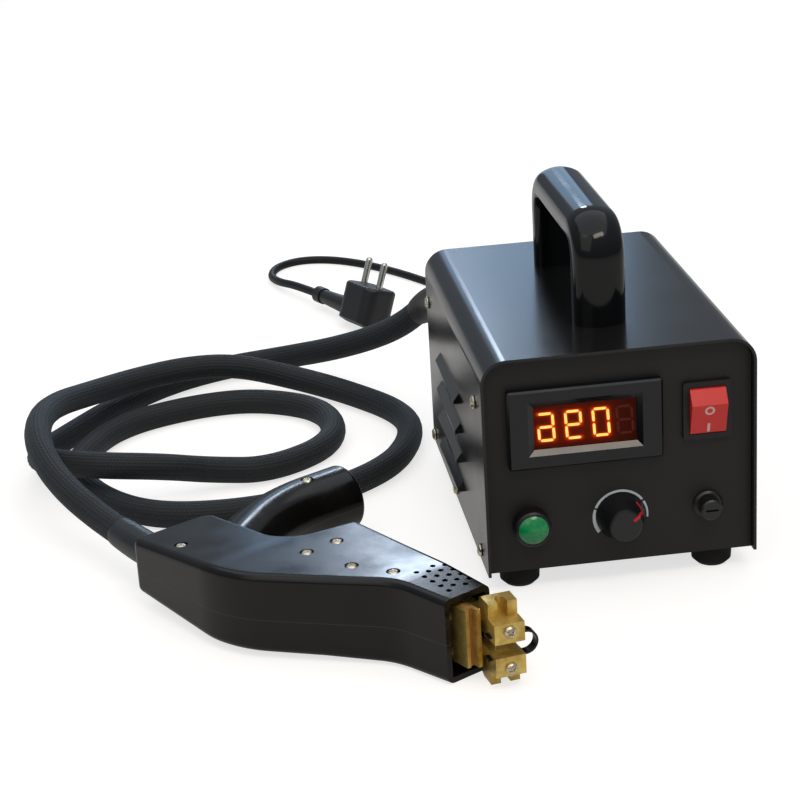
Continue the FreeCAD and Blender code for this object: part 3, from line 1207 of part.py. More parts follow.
def make_shells():
    """Two half shells that meet on the parting plane, and the screws that hold them together."""
    shank, head, height = SHELL_SCREW
    sink = 1.6
    tops = []
    threads = []
    screws = []
    for s, w, skin in shell_screw_places():
        tops.append(disc(head + 1.0, V(s, w, skin - sink), Z, 8))
        tops.append(disc(shank + 2 * HOLE_GAP, V(s, w, -1), Z, 40))
        threads.append(disc(shank + HOLE_GAP, V(s, w, -SCREW_BITE - 1), Z, SCREW_BITE + 2))
        screws.append(screw(SHELL_SCREW, V(s, w, skin - sink), V(0, 0, -1), skin - sink + SCREW_BITE))
    vents = []
    for row, count in enumerate(VENT_COUNTS):
        shift = VENT_PITCH / 2 if row % 2 else 0.0
        for k in range(count):
            spot = V(VENT_FIRST[0] + shift + k * VENT_PITCH, VENT_FIRST[1] - row * VENT_ROW, SHELL_WALL * 2)
            vents.append(disc(VENT_DIAMETER, spot, Z, 40))
    keep("gun_shell_upper", shell_half(BODY_TOP).cut(tops + vents), TOOL)
    keep("gun_shell_lower", shell_half(BODY_UNDER).mirror(V(0, 0, 0), Z).cut(threads), TOOL)
    keep("shell_screws", group(screws), TOOL)


def both_halves(name, shape, place):
    """A piece of the upper jaw and its mirror image in the lower one."""
    keep(name + "_upper", shape, place)
    keep(name + "_lower", shape.mirror(V(0, 0, 0), Z), place)


def jaw_back(x):
    """Depth of a jaw behind its front face, where it is cut parallel to the tool's nose."""
    turn = math.radians(HEAD_TURN)
    return (-JAW_BACK - HEAD_S + x * math.sin(turn)) / math.cos(turn)


def in_head(shape):
    """Bring a shape drawn along the tool into the head's own axes."""
    moved = shape.copy()
    back = HEAD.inverse().multiply(TOOL)
    moved.Placement = back.multiply(moved.Placement)
    return moved


def make_jaws():
    """Brass jaw blocks with a tongue into the nose, a slot for the blade's leg and a notch in front."""
    half = JAW_WIDTH / 2
    plan = [(-half, 0, 0), (half, 0, 0), (half, jaw_back(half), 0), (-half, jaw_back(-half), 0)]
    block = plate(plan, JAW_OUTER - JAW_INNER)
    block.translate(V(0, 0, JAW_INNER))
    wedge = [V(0, jaw_back(half) + 1, JAW_OUTER - JAW_BEVEL), V(0, jaw_back(half) + 1, JAW_OUTER + 1)]
    wedge += [V(0, jaw_back(-half) - JAW_BEVEL, JAW_OUTER + 1), V(0, jaw_back(-half) - JAW_BEVEL / 2, JAW_OUTER)]
    bevel = Part.Face(Part.makePolygon(wedge + [wedge[0]])).extrude(V(4 * half, 0, 0))
    bevel.translate(V(-2 * half, 0, 0))
    block = block.cut(bevel)
    neck_low, neck_high = TONGUE_NECK
    tall = TONGUE_Z[1] - TONGUE_Z[0]
    wide_w = PLATE_W - 2 * PLATE_THICK - INSULATOR_THICK
    neck = Part.makeBox(TONGUE_LENGTH + 2 * JAW_BACK, neck_high - neck_low, tall, V(-2 * JAW_BACK, neck_low, TONGUE_Z[0]))
    foot = Part.makeBox(TONGUE_LENGTH - TONGUE_STEP, wide_w - neck_low, tall, V(TONGUE_STEP, neck_low, TONGUE_Z[0]))
    block = fused([block, in_head(neck), in_head(foot)])
    notch_depth = JAW_SLOT_DEPTH - JAW_SLOT / 2
    rise = JAW_OUTER - JAW_SLOT_FLOOR + 1
    notch = [Part.makeBox(JAW_SLOT, notch_depth + 1, rise, V(-JAW_SLOT / 2, -1, JAW_SLOT_FLOOR))]
    notch.append(disc(JAW_SLOT, V(0, notch_depth, JAW_SLOT_FLOOR), Z, rise))
    leg = mid_box((4 * half, 2 * (BLADE_SEAT + BLADE_GAP), BLADE_THICK + 2 * BLADE_GAP), (0, 0, BLADE_HALF))
    thread = disc(CLAMP_SCREW[0] + 2 * HOLE_GAP, V(0, -1, CLAMP_SCREW_Z), Y, CLAMP_SCREW_BITE + 2)
    cross = disc(JAW_SCREW[0] + HOLE_GAP, V(JAW_SCREW_S, 30, sum(TONGUE_Z) / 2), V(0, -1, 0), 40)
    block = block.cut(notch + [leg, thread, in_head(cross)])
    both_halves("jaw_block", block, HEAD)


def make_clamps():
    """Clamp bars in front of the jaws, grooved over the blade's legs, each with its screw."""
    low = JAW_INNER
    bar = mid_box((BAR_WIDTH, BAR_THICK, BAR_HEIGHT), (0, -BAR_THICK / 2, low + BAR_HEIGHT / 2))
    depth = BLADE_WIDTH - BLADE_SEAT + BLADE_GAP
    groove = mid_box((BAR_WIDTH + 2, 2 * depth, BLADE_THICK + 2 * BLADE_GAP), (0, 0, BLADE_HALF))
    bore = disc(CLAMP_SCREW[0] + 2 * PIN_GAP, V(0, -2 * BAR_THICK, CLAMP_SCREW_Z), Y, 3 * BAR_THICK)
    both_halves("clamp_bar", bar.cut([groove, bore]), HEAD)
    head = V(0, -BAR_THICK, CLAMP_SCREW_Z)
    bolt = screw(CLAMP_SCREW, head, Y, BAR_THICK + CLAMP_SCREW_BITE)
    reach = CLAMP_SCREW[1] * 0.5
    face = head - V(0, CLAMP_SCREW[2], 0)
    cross = [mid_box((reach, 2.2, 0.8), face), mid_box((0.8, 2.2, reach), face)]
    both_halves("clamp_screw", bolt.cut(cross), HEAD)


def make_blade():
    """Blade: one strip of steel bent into a U, its legs lying in the jaws."""
    outer = BLADE_HALF + BLADE_THICK / 2
    inner = BLADE_HALF - BLADE_THICK / 2
    left = -BLADE_LEG
    right = BLADE_LOOP
    strip = [Part.LineSegment(V(left, 0, outer), V(right, 0, outer)).toShape()]
    strip.append(Part.Arc(V(right, 0, outer), V(right + outer, 0, 0), V(right, 0, -outer)).toShape())
    strip.append(Part.LineSegment(V(right, 0, -outer), V(left, 0, -outer)).toShape())
    strip.append(Part.LineSegment(V(left, 0, -outer), V(left, 0, -inner)).toShape())
    strip.append(Part.LineSegment(V(left, 0, -inner), V(right, 0, -inner)).toShape())
    strip.append(Part.Arc(V(right, 0, -inner), V(right + inner, 0, 0), V(right, 0, inner)).toShape())
    strip.append(Part.LineSegment(V(right, 0, inner), V(left, 0, inner)).toShape())
    strip.append(Part.LineSegment(V(left, 0, inner), V(left, 0, outer)).toShape())
    blade = Part.Face(Part.Wire(strip)).extrude(V(0, BLADE_WIDTH, 0))
    blade.translate(V(0, BLADE_SEAT - BLADE_WIDTH, 0))
    keep("blade", blade, HEAD)


def make_conductors():
    """Two conductor plates with an insulating sheet between them, bolted through to the jaws."""
    tall = PLATE_TOP + PLATE_LOW
    near_w = PLATE_W - PLATE_THICK
    sheet_w = near_w - INSULATOR_THICK
    far_w = sheet_w - PLATE_THICK
    layers = [("conductor_plate_near", NEAR_PLATE_REACH, near_w, PLATE_THICK)]
    layers.append(("conductor_insulator", INSULATOR_REACH, sheet_w, INSULATOR_THICK))
    layers.append(("conductor_plate_far", FAR_PLATE_REACH, far_w, PLATE_THICK))
    axes = [V(JAW_SCREW_S, 40, side * sum(TONGUE_Z) / 2) for side in (-1, 1)]
    bores = [disc(JAW_SCREW[0] + HOLE_GAP, axis, V(0, -1, 0), 60) for axis in axes]
    for name, reach, low, thick in layers:
        layer = Part.makeBox(reach + PLATE_LENGTH, thick, tall, V(-reach, low, -PLATE_LOW))
        keep(name, layer.cut(bores), TOOL)
    bite = PLATE_W - far_w + SCREW_BITE
    screws = [screw(JAW_SCREW, V(axis.x, PLATE_W, axis.z), V(0, -1, 0), bite) for axis in axes]
    keep("jaw_screws", group(screws), TOOL)


def main():
    """Build every piece and write one file per node."""
    make_cover()
    make_chassis()
    make_cover_screws()
    make_feet()
    make_handle()
    make_meter()
    make_switch()
    make_dial()
    make_lamp()
    make_fuse()
    make_transformer()
    make_board()
    make_exits()
    make_hose()
    make_mains()
    make_coil_tie()
    make_plug()
    make_shells()
    make_jaws()
    make_clamps()
    make_blade()
    make_conductors()
    os.makedirs("parts", exist_ok=True)
    for name, shape in NODES.items():
        shape.exportStep("parts/" + name + ".step")
    print(len(NODES), "nodes")


main()
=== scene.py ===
"""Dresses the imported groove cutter: power unit, braided hose, mains lead and hand tool with a heated blade."""

import json
import math

import bmesh
import bpy
import numpy as np
from bpy.props import BoolProperty, FloatProperty, FloatVectorProperty, IntProperty, PointerProperty, StringProperty
from mathutils import Matrix, Vector


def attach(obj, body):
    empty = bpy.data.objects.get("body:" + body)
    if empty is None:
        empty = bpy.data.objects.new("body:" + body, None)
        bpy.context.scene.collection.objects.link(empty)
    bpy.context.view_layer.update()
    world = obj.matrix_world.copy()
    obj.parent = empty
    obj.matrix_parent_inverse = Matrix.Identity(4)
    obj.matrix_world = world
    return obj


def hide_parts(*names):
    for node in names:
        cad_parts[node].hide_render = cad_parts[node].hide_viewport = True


bl_info = {
    "name": "Groove cutter dressing",
    "version": (1, 0, 0),
    "blender": (4, 5, 0),
    "location": "View3D > Sidebar > Cutter",
    "description": "Adds the hose, lead, screws, panel marks and finishes of a heated-blade groove cutter",
    "category": "Object",
}

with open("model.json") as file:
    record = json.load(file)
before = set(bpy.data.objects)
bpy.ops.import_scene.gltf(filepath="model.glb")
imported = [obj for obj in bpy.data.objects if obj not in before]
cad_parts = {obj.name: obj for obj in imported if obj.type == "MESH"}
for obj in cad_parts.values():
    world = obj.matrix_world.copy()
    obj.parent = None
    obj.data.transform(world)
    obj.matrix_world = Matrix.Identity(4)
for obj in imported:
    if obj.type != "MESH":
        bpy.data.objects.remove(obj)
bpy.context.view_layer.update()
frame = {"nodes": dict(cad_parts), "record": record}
MM = 0.001

# Routes in the part's own frame, in millimetres, the same points as the solids follow
HOSE_ROUTE = (
    (32, 159, 84), (31.5, 182.5, 83), (25, 206.5, 74), (6, 232.5, 50), (-26, 275.5, 27),
    (-62, 309.5, 12), (-105, 311.5, 8), (-144, 289.5, 7.8), (-177, 252.5, 7.8),
    (-204, 210.5, 8.5), (-222, 169.5, 13), (-211, 131.5, 24), (-182, 110.5, 27),
    (-146, 109.5, 23), (-118, 123.5, 12), (-83, 124.5, 7.8), (-41, 157.5, 7.8),
    (-41, 213, 7.8), (-81, 244.5, 7.8), (-124, 244.5, 7.8), (-174, 221.5, 7.8),
    (-198, 170.5, 7.8), (-198, 141.5, 7.8), (-174, 92.5, 7.8), (-139, 68.5, 7.8),
    (-78, 68.5, 7.8), (-18, 103.5, 7.8), (5, 152.5, 7.8), (5, 195.5, 7.8),
    (-27, 244.5, 7.8), (-60, 267.5, 13), (-95, 269.5, 24), (-127, 267.5, 26),
    (-160, 254.5, 26), (-188, 228.5, 29), (-208, 192.5, 37), (-216, 152.5, 43),
    (-215, 108.5, 43), (-201, 66.5, 34), (-170.5, 25, 21), (-147.9, -12.8, 21),
)
LEAD_ROUTE = (
    (106, 156.7, 37), (106.6, 172.1, 36.7), (115.2, 189, 30.7), (130.7, 197, 18.7),
    (142.3, 206.7, 10.5), (146.7, 220, 4.8), (146.2, 234.5, 4.4),
)
COIL_CENTRE = (105.0, 240.5)
COIL_RADIUS = 41.0
COIL_PITCH = 7.4
COIL_TURNS = 1.75
COIL_CLIMB = 0.5
COIL_LEVELS = (4.4, 11.7)
CORD_ROUTE = (
    (146.2, 246.5, 11.7), (146.6, 264.5, 11.4), (143.5, 288.5, 7), (134, 314.5, 3.3), (122, 344.5, 3.05),
    (105, 382.5, 3.05), (86, 422.5, 3.05), (64, 464.5, 3.05), (41, 504.5, 3.05),
    (16, 537.5, 3.05), (-9, 557.5, 3.05), (-33, 561.5, 3.05), (-51, 548.5, 3.05),
    (-57, 525.5, 3.2), (-52, 501, 5.6), (-40.3, 476.5, 9.4), (-26.1, 448.5, 10),
)

# Seats of the pan-head screws and the way each head faces
SHELL_SEATS = (
    (-76.23, -75.79, 43.27), (-60.44, -66.34, 43.27), (-56.25, -97.28, 43.63), (-37.41, -109.66, 44.01),
    (-137.55, -42.7, 39.14), (-67.62, 30.31, 37.4),
)
COVER_SEATS = ((-37.5, 100), (129.5, 100), (-37.5, 18), (46, 18), (129.5, 18))
CASE_SIDES = ((-1.0, 16.0), (1.0, 156.0))
FOOT_SEATS = ((35, -40.5, 6), (35, 119.5, 6), (137, -40.5, 6), (137, 119.5, 6))
JAW_SEATS = ((-16.28, -133.26, 11.75), (-16.28, -133.26, 30.25))
JAW_FACING = (-0.858, -0.514, 0.0)
CLAMP_SEATS = {"upper": (10.44, -155.7, 30.5), "lower": (10.44, -155.7, 11.5)}
CLAMP_FACING = (0.1895, -0.9819, 0.0)

# Panel places: across, up, and how far forward their carrier stands
DISPLAY_CENTRE = (68.5, 90.0)
DISPLAY_FRONT = -55.72
DIGIT_LEFTS = (-23.5, -9.4, 4.6, 16.8)
BEZEL_FRONT = -59.5
WINDOW_FRONT = -57.3
PANEL_FRONT = -54.5
DIAL_CENTRE = (86.0, 36.8)

# Knob's side and face as (radius, height) over a foot that floats before the panel
KNOB_FOOT = -55.1
KNOB_PROFILE = ((12.1, 1.6), (8.7, 12.2), (8.3, 13.0), (7.5, 13.4), (0.0, 13.4))

# Rocker's long face: its ridge, and the unit vectors across, inward and up along it
ROCKER_RIDGE = (131.304, -62.218, 95.295)
ROCKER_AXES = ((1.0, 0.0, 0.0), (0.0, 0.961, 0.2767), (0.0, -0.2767, 0.961))
ROCKER_FACE = 17.03

# Camera fitted to the case's edges: turn in degrees, place in millimetres and focal length; the floor's half size
CAMERA_TURN = (5.96, 20.68, -3.54)
CAMERA_PLACE = (-122.446, -1003.974, 471.885)
CAMERA_LENS = 93.19
FLOOR_EDGE = 6.0

# Hose: step along its line in mm, points around its sleeves, and in metres how far their ends sink in it and
# the boot's radius
HOSE_STEP = 1.9
SKIN_AROUND = 64
SKIN_SINK = 0.0004
BOOT_RADIUS = 0.0111

# Hand tool's parting plane: its height and half the width of its flash line
PARTING_LEVEL = 21.0
PARTING_HALF = 0.25

# Display: a bar's width, its stand-off and its thickness, the film's half sizes, and the liner's rectangles as
# left, right, low and high
BAR_WIDTH = 1.35
BAR_LIFT = 0.14
BAR_THICK = 0.1
FILM_HALF = (26.4, 12.6)
LINER_FACE = (-38.3, 38.3, -19.8, 19.8)
LINER_MOUTH = (-29.4, 29.0, -13.9, 15.0)
LINER_WINDOW = (-26.2, 26.4, -11.2, 11.7)

# Dial's marks: the scale's outer radius, its arcs from angle to angle, its width at some angles, the pointer's
# strips as (angle, way in) places and their width, and how thick ink stands
SCALE_RADIUS = 14.5
SCALE_ARCS = ((215.0, 160.0), (156.0, 35.0), (30.0, -8.0))
SCALE_ANGLES = (-8.0, 30.0, 160.0, 215.0)
SCALE_WIDTHS = (0.8, 1.2, 1.3, 2.2)
POINTER_STRIPS = (((50.0, 2.6), (20.0, 4.8)), ((20.0, 4.2), (35.0, 11.1), (34.0, 15.8)))
POINTER_WIDTH = 1.6
INK = 0.06

# Distance between the bands of a wave texture at scale 1, in metres
WAVE = 0.314


def linear(code):
    """An sRGB hex colour as linear red, green, blue and full alpha."""
    channel = np.array([int(code[k:k + 2], 16) for k in (1, 3, 5)]) / 255.0
    value = np.where(channel <= 0.04045, channel / 12.92, ((channel + 0.055) / 1.055) ** 2.4)
    return (float(value[0]), float(value[1]), float(value[2]), 1.0)


# ---------------------------------------------------------------- surfaces


def grid_faces(rows, columns, wrap=False):
    """Quads of a grid of points; wrap joins the last column to the first."""
    index = np.arange(rows * columns).reshape(rows, columns)
    if wrap:
        index = np.concatenate([index, index[:, :1]], axis=1)
    return np.stack([index[:-1, :-1], index[:-1, 1:], index[1:, 1:], index[1:, :-1]], axis=-1).reshape(-1, 4)


def grid_uv(along, around):
    """Corner coordinates of a grid's quads from the values along its rows and around its columns."""
    grid = np.stack(np.meshgrid(along, around, indexing="ij"), axis=-1)
    return np.stack([grid[:-1, :-1], grid[:-1, 1:], grid[1:, 1:], grid[1:, :-1]], axis=2).reshape(-1, 2)


def piece(name, parts, material, body, smooth=True, uv=None):
    """One mesh object from several (points, quads) surfaces: joined edges and poles merged, normals outward."""
    points = np.concatenate([np.asarray(p, float).reshape(-1, 3) for p, _ in parts])
    starts = np.cumsum([0] + [np.asarray(p).reshape(-1, 3).shape[0] for p, _ in parts[:-1]])
    faces = np.concatenate([f + s for (_, f), s in zip(parts, starts)]).astype(np.int32)
    mesh = bpy.data.meshes.new(name)
    mesh.vertices.add(len(points))
    mesh.vertices.foreach_set("co", points.astype(np.float32).ravel())
    mesh.loops.add(faces.size)
    mesh.loops.foreach_set("vertex_index", faces.ravel())
    mesh.polygons.add(len(faces))
    mesh.polygons.foreach_set("loop_start", np.arange(0, faces.size, 4, dtype=np.int32))
    mesh.polygons.foreach_set("use_smooth", np.full(len(faces), smooth))
    if uv is not None:
        layer = mesh.uv_layers.new(name="surface")
        layer.data.foreach_set("uv", np.asarray(uv, np.float32).ravel())
    mesh.update(calc_edges=True)
    mesh.validate()
    shape = bmesh.new()
    shape.from_mesh(mesh)
    bmesh.ops.remove_doubles(shape, verts=shape.verts, dist=2e-6)
    bmesh.ops.dissolve_degenerate(shape, dist=1e-7, edges=shape.edges)
    bmesh.ops.recalc_face_normals(shape, faces=shape.faces)
    shape.to_mesh(mesh)
    shape.free()
    mesh.materials.append(material)
    obj = bpy.data.objects.new(name, mesh)
    bpy.context.scene.collection.objects.link(obj)
    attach(obj, body)
    return obj


def laid_line(name, points):
    """A curve whose one smooth spline has the route's points as its control points."""
    curve = bpy.data.curves.new(name, "CURVE")
    curve.dimensions = "3D"
    curve.resolution_u = 12
    spline = curve.splines.new("NURBS")
    spline.points.add(len(points) - 1)
    spline.points.foreach_set("co", np.column_stack([points, np.ones(len(points))]).astype(np.float32).ravel())
    spline.order_u = 3
    spline.use_endpoint_u = True
    obj = bpy.data.objects.new(name, curve)
    bpy.context.scene.collection.objects.link(obj)
    return obj


def points_of(line, step):
    """Points read from a laid line, evened out to one step along its length."""
    mesh = bpy.data.meshes.new_from_object(line)
    read = np.empty(len(mesh.vertices) * 3, np.float32)
    mesh.vertices.foreach_get("co", read)
    bpy.data.meshes.remove(mesh)
    read = read.reshape(-1, 3).astype(float)
    reach = np.concatenate([[0.0], np.cumsum(np.linalg.norm(np.diff(read, axis=0), axis=1))])
    even = np.linspace(0.0, reach[-1], int(reach[-1] / step) + 1)
    return np.stack([np.interp(even, reach, read[:, k]) for k in range(3)], axis=1), even


def swept(path, radius, around):
    """A tube: about each path point a ring, its start upward, with a radius for each ring and each angle."""
    ahead = np.gradient(path, axis=0)
    ahead /= np.linalg.norm(ahead, axis=1, keepdims=True)
    side = np.cross(ahead, (0.0, 0.0, 1.0))
    side /= np.linalg.norm(side, axis=1, keepdims=True)
    rise = np.cross(side, ahead)
    turn = np.linspace(0.0, 2.0 * math.pi, around, endpoint=False)
    ring = np.cos(turn)[None, :, None] * rise[:, None, :] + np.sin(turn)[None, :, None] * side[:, None, :]
    return path[:, None, :] + ring * radius[:, :, None]


def facing(seat, ahead):
    """The turn and shift that put a shape drawn about +Z at a seat, facing a direction."""
    turn = Vector(ahead).to_track_quat("Z", "Y").to_matrix().to_4x4()
    return Matrix.Translation(Vector(seat) * MM) @ turn


def placed(points, place):
    """Points moved by a 4 x 4 placement."""
    flat = np.asarray(points, float).reshape(-1, 3)
    matrix = np.array(place)
    return (flat @ matrix[:3, :3].T + matrix[:3, 3]).reshape(np.shape(points))


def pan_screw(head, height, shank, bite, turn):
    """A pan-head screw about +Z in metres: a crowned disc pressed with a cross recess, then its rim and shank.

    The crown's height falls as the fourth power of the distance from the axis; the recess is the union of
    two bars whose walls slope in over a short band, deeper toward the middle."""
    count = 45
    cells = np.linspace(-1.0, 1.0, count)
    a, b = np.meshgrid(cells, cells, indexing="ij")
    x = a * np.sqrt(1.0 - b * b / 2.0) * head / 2
    y = b * np.sqrt(1.0 - a * a / 2.0) * head / 2
    far = np.hypot(x, y) / (head / 2)
    crown = height * (1.0 - 0.55 * far ** 4)
    u = np.abs(x * math.cos(turn) + y * math.sin(turn))
    v = np.abs(y * math.cos(turn) - x * math.sin(turn))
    wall = 0.07 * head

    def bar(p, q):
        """One bar of the recess: full along its middle, fading out over its walls."""
        return np.clip((0.09 * head + wall / 2 - p) / wall, 0, 1) * np.clip((0.33 * head - q) / wall, 0, 1)

    sunk = np.maximum(bar(u, v), bar(v, u)) * (0.62 * height) * (1.0 - 0.9 * far ** 2)
    top = np.stack([x, y, crown - sunk], axis=-1)
    rim = np.concatenate([top[0, :-1], top[:-1, -1], top[-1, :0:-1], top[:0:-1, 0]])
    unit = rim[:, :2] / np.linalg.norm(rim[:, :2], axis=1, keepdims=True)
    edge = 0.12 * height
    steps = ((head / 2, edge), (head / 2 - edge, 0.0), (shank / 2, 0.0), (shank / 2, -bite), (0.0, -bite))
    levels = [rim] + [np.column_stack([unit * radius, np.full(len(rim), level)]) for radius, level in steps]
    return [(top, grid_faces(count, count)), (np.stack(levels), grid_faces(len(levels), len(rim), True))]


def screw_set(seats, sizes):
    """Surfaces of several screws: seats hold a place, the way the head faces and the recess's turn."""
    parts = []
    for seat, ahead, turn in seats:
        place = facing(seat, ahead)
        parts += [(placed(points, place), faces) for points, faces in pan_screw(*[v * MM for v in sizes], turn)]
    return parts


def plate(outline, y_front, thick):
    """A flat plate in the panel's plane: rings out from the outline's middle, and an edge back to its carrier."""
    middle = outline.mean(axis=0)
    rings = [np.repeat(middle[None], len(outline), axis=0), outline, outline]
    depth = [y_front, y_front, y_front + thick]
    points = np.stack([np.column_stack([r[:, 0], np.full(len(r), d), r[:, 1]]) for r, d in zip(rings, depth)])
    return points * MM, grid_faces(3, len(outline), True)


def band(inner, outer, y_front, thick):
    """A strip between two rows of (across, up) points in the panel's plane, with its edges turned back."""
    rows = [inner, inner, outer, outer]
    depth = [y_front + thick, y_front, y_front, y_front + thick]
    points = np.stack([np.column_stack([r[:, 0], np.full(len(r), d), r[:, 1]]) for r, d in zip(rows, depth)])
    return points * MM, grid_faces(4, len(inner))


def framed(rows, centre):
    """A mitred frame in the panel's plane: each row is a rectangle (left, right, low, high) at its own depth."""
    rings = []
    for left, right, low, high, depth in rows:
        x = np.array([left, right, right, left]) + centre[0]
        z = np.array([low, low, high, high]) + centre[1]
        rings.append(np.column_stack([x, np.full(4, depth), z]))
    return np.stack(rings) * MM, grid_faces(len(rows), 4, True)


def knob_strip(places, width):
    """A strip laid on the knob along (angle, way in) places, lifted 0.07 mm off it, with its edges turned in.

    The way in runs up the knob's profile from its rim and on over the face; the strip's sides stand square to
    its middle line and to the profile's normal."""
    profile = np.array(KNOB_PROFILE)
    steps = np.diff(profile, axis=0)
    way = np.concatenate([[0.0], np.cumsum(np.linalg.norm(steps, axis=1))])
    places = np.array(places, float)
    share = np.linspace(0.0, len(places) - 1.0, 30 * len(places))
    turn = np.radians(np.interp(share, np.arange(len(places)), places[:, 0]))
    inward = np.interp(share, np.arange(len(places)), places[:, 1])
    radius, rise = (np.interp(inward, way, profile[:, k]) for k in (0, 1))
    slope = steps[np.clip(np.searchsorted(way, inward) - 1, 0, len(steps) - 1)]
    slope /= np.linalg.norm(slope, axis=1, keepdims=True)
    round_ = np.stack([np.cos(turn), np.zeros_like(turn), np.sin(turn)], axis=1)
    middle = np.array([DIAL_CENTRE[0], KNOB_FOOT, DIAL_CENTRE[1]]) + round_ * radius[:, None]
    middle[:, 1] -= rise
    normal = round_ * slope[:, 1:] + np.array([0.0, 1.0, 0.0]) * slope[:, :1]
    side = np.cross(normal, np.gradient(middle, axis=0))
    side *= width / 2 / np.linalg.norm(side, axis=1, keepdims=True)
    rows = [middle + a * side + b * normal for a, b in ((-1, -0.1), (-1, 0.07), (1, 0.07), (1, -0.1))]
    return np.stack(rows, axis=1) * MM, grid_faces(len(middle), 4)


# ---------------------------------------------------------------- finishes


def add(tree, kind, settings=(), inputs=()):
    """Add one shader node, set its properties, and set or link its input sockets."""
    item = tree.nodes.new(kind)
    for key, value in dict(settings).items():
        setattr(item, key, value)
    for key, value in dict(inputs).items():
        if isinstance(value, bpy.types.NodeSocket):
            tree.links.new(value, item.inputs[key])
        else:
            item.inputs[key].default_value = value
    return item


def mixed(tree, share, first, second, socket=None):
    """Two colours mixed by a share, linked to a socket where one is given."""
    blend = add(tree, "ShaderNodeMix", {"data_type": "RGBA"}, {0: share, 6: first, 7: second}).outputs[2]
    if socket is not None:
        tree.links.new(blend, socket)
    return blend


def maths(tree, operation, *values):
    """Output of one math node on values or sockets."""
    return add(tree, "ShaderNodeMath", {"operation": operation}, dict(enumerate(values))).outputs[0]


def ranged(tree, value, *limits):
    """A value's low and high limit carried to a new low and high, by default 0 and 1."""
    return add(tree, "ShaderNodeMapRange", inputs={0: value, **dict(enumerate(limits, 1))}).outputs[0]


def raised(tree, shader, height, depth, strength=1.0):
    """Relief on a shader: a height socket times a depth in mm."""
    relief = {"Strength": strength, "Distance": depth * MM, "Height": height}
    tree.links.new(add(tree, "ShaderNodeBump", inputs=relief).outputs[0], shader.inputs["Normal"])


def coat(name, colour, roughness, metallic=0.0, sockets=()):
    """A new material with a plain surface shader: the material, its tree, the shader and object coordinates."""
    material = bpy.data.materials.new(name)
    material.use_nodes = True
    tree = material.node_tree
    shader = tree.nodes["Principled BSDF"]
    values = {"Base Color": linear(colour), "Roughness": roughness, "Metallic": metallic, **dict(sockets)}
    for key, value in values.items():
        shader.inputs[key].default_value = value
    where = add(tree, "ShaderNodeTexCoord").outputs["Object"]
    return material, tree, shader, where


def textured(tree, shader, where, size, depth, rough, tones=None, patch=30.0):
    """Grain of one size in mm as relief, and broad patches that shift the roughness and, with two tones, the colour."""
    fine = add(tree, "ShaderNodeTexNoise", inputs={"Vector": where, "Scale": 1.0 / (size * MM), "Detail": 2.0})
    raised(tree, shader, fine.outputs[0], depth)
    clouds = {"Vector": where, "Scale": 1.0 / (patch * MM), "Detail": 4.0}
    broad = add(tree, "ShaderNodeTexNoise", inputs=clouds).outputs[0]
    tree.links.new(ranged(tree, broad, 0.3, 0.7, *rough), shader.inputs["Roughness"])
    if tones:
        share = ranged(tree, broad, 0.3, 0.7)
        mixed(tree, share, linear(tones[0]), linear(tones[1]), shader.inputs["Base Color"])


def powder_coat():
    """Black polyester powder on bent steel: half gloss, with orange peel drawn at 1.4 mm so that it shows."""
    material, tree, shader, where = coat("powder_coat_black", "#131416", 0.25, sockets={"Specular IOR Level": 0.42})
    textured(tree, shader, where, 1.4, 0.006, (0.17, 0.23), ("#121212", "#181716"), 60.0)
    return material


def panel_enamel():
    """Matt black stoving enamel on the folded chassis: a little brown, with a fine even tooth."""
    material, tree, shader, where = coat("panel_enamel_black", "#1d1b1a", 0.5, sockets={"Specular IOR Level": 0.35})
    textured(tree, shader, where, 0.9, 0.01, (0.46, 0.56), ("#1b1a19", "#201e1d"), 40.0)
    return material


def moulded(name, colour, rough, size=0.8, depth=0.004, tones=None, specular=0.5, patch=25.0):
    """A moulded plastic: tool texture of one grain size, and gloss that shifts where hands have polished it."""
    material, tree, shader, where = coat(name, colour, rough[0], sockets={"Specular IOR Level": specular})
    textured(tree, shader, where, size, depth, rough, tones, patch)
    return material


def gun_abs():
    """Glossy black ABS of the hand tool: cloudy where hands polished it, a pale flash line on the parting plane."""
    material, tree, shader, where = coat("abs_gun_black", "#0e0d0d", 0.2, sockets={"Specular IOR Level": 0.32})
    textured(tree, shader, where, 11.0, 0.03, (0.13, 0.26), ("#0d0c0b", "#131110"), 18.0)
    base = shader.inputs["Base Color"].links[0].from_socket
    level = add(tree, "ShaderNodeSeparateXYZ", inputs={0: where}).outputs[2]
    line = maths(tree, "COMPARE", level, PARTING_LEVEL * MM, PARTING_HALF * MM)
    mixed(tree, line, base, linear("#2e2b29"), shader.inputs["Base Color"])
    return material


def plated(name, tones, rough, size=0.6, depth=0.002, patch=4.0):
    """A plated or bare metal: fine handling grain, with patches of a second tone where the plating is thin."""
    material, tree, shader, where = coat(name, tones[0], rough[0], 1.0)
    textured(tree, shader, where, size, depth, rough, tones, patch)
    return material


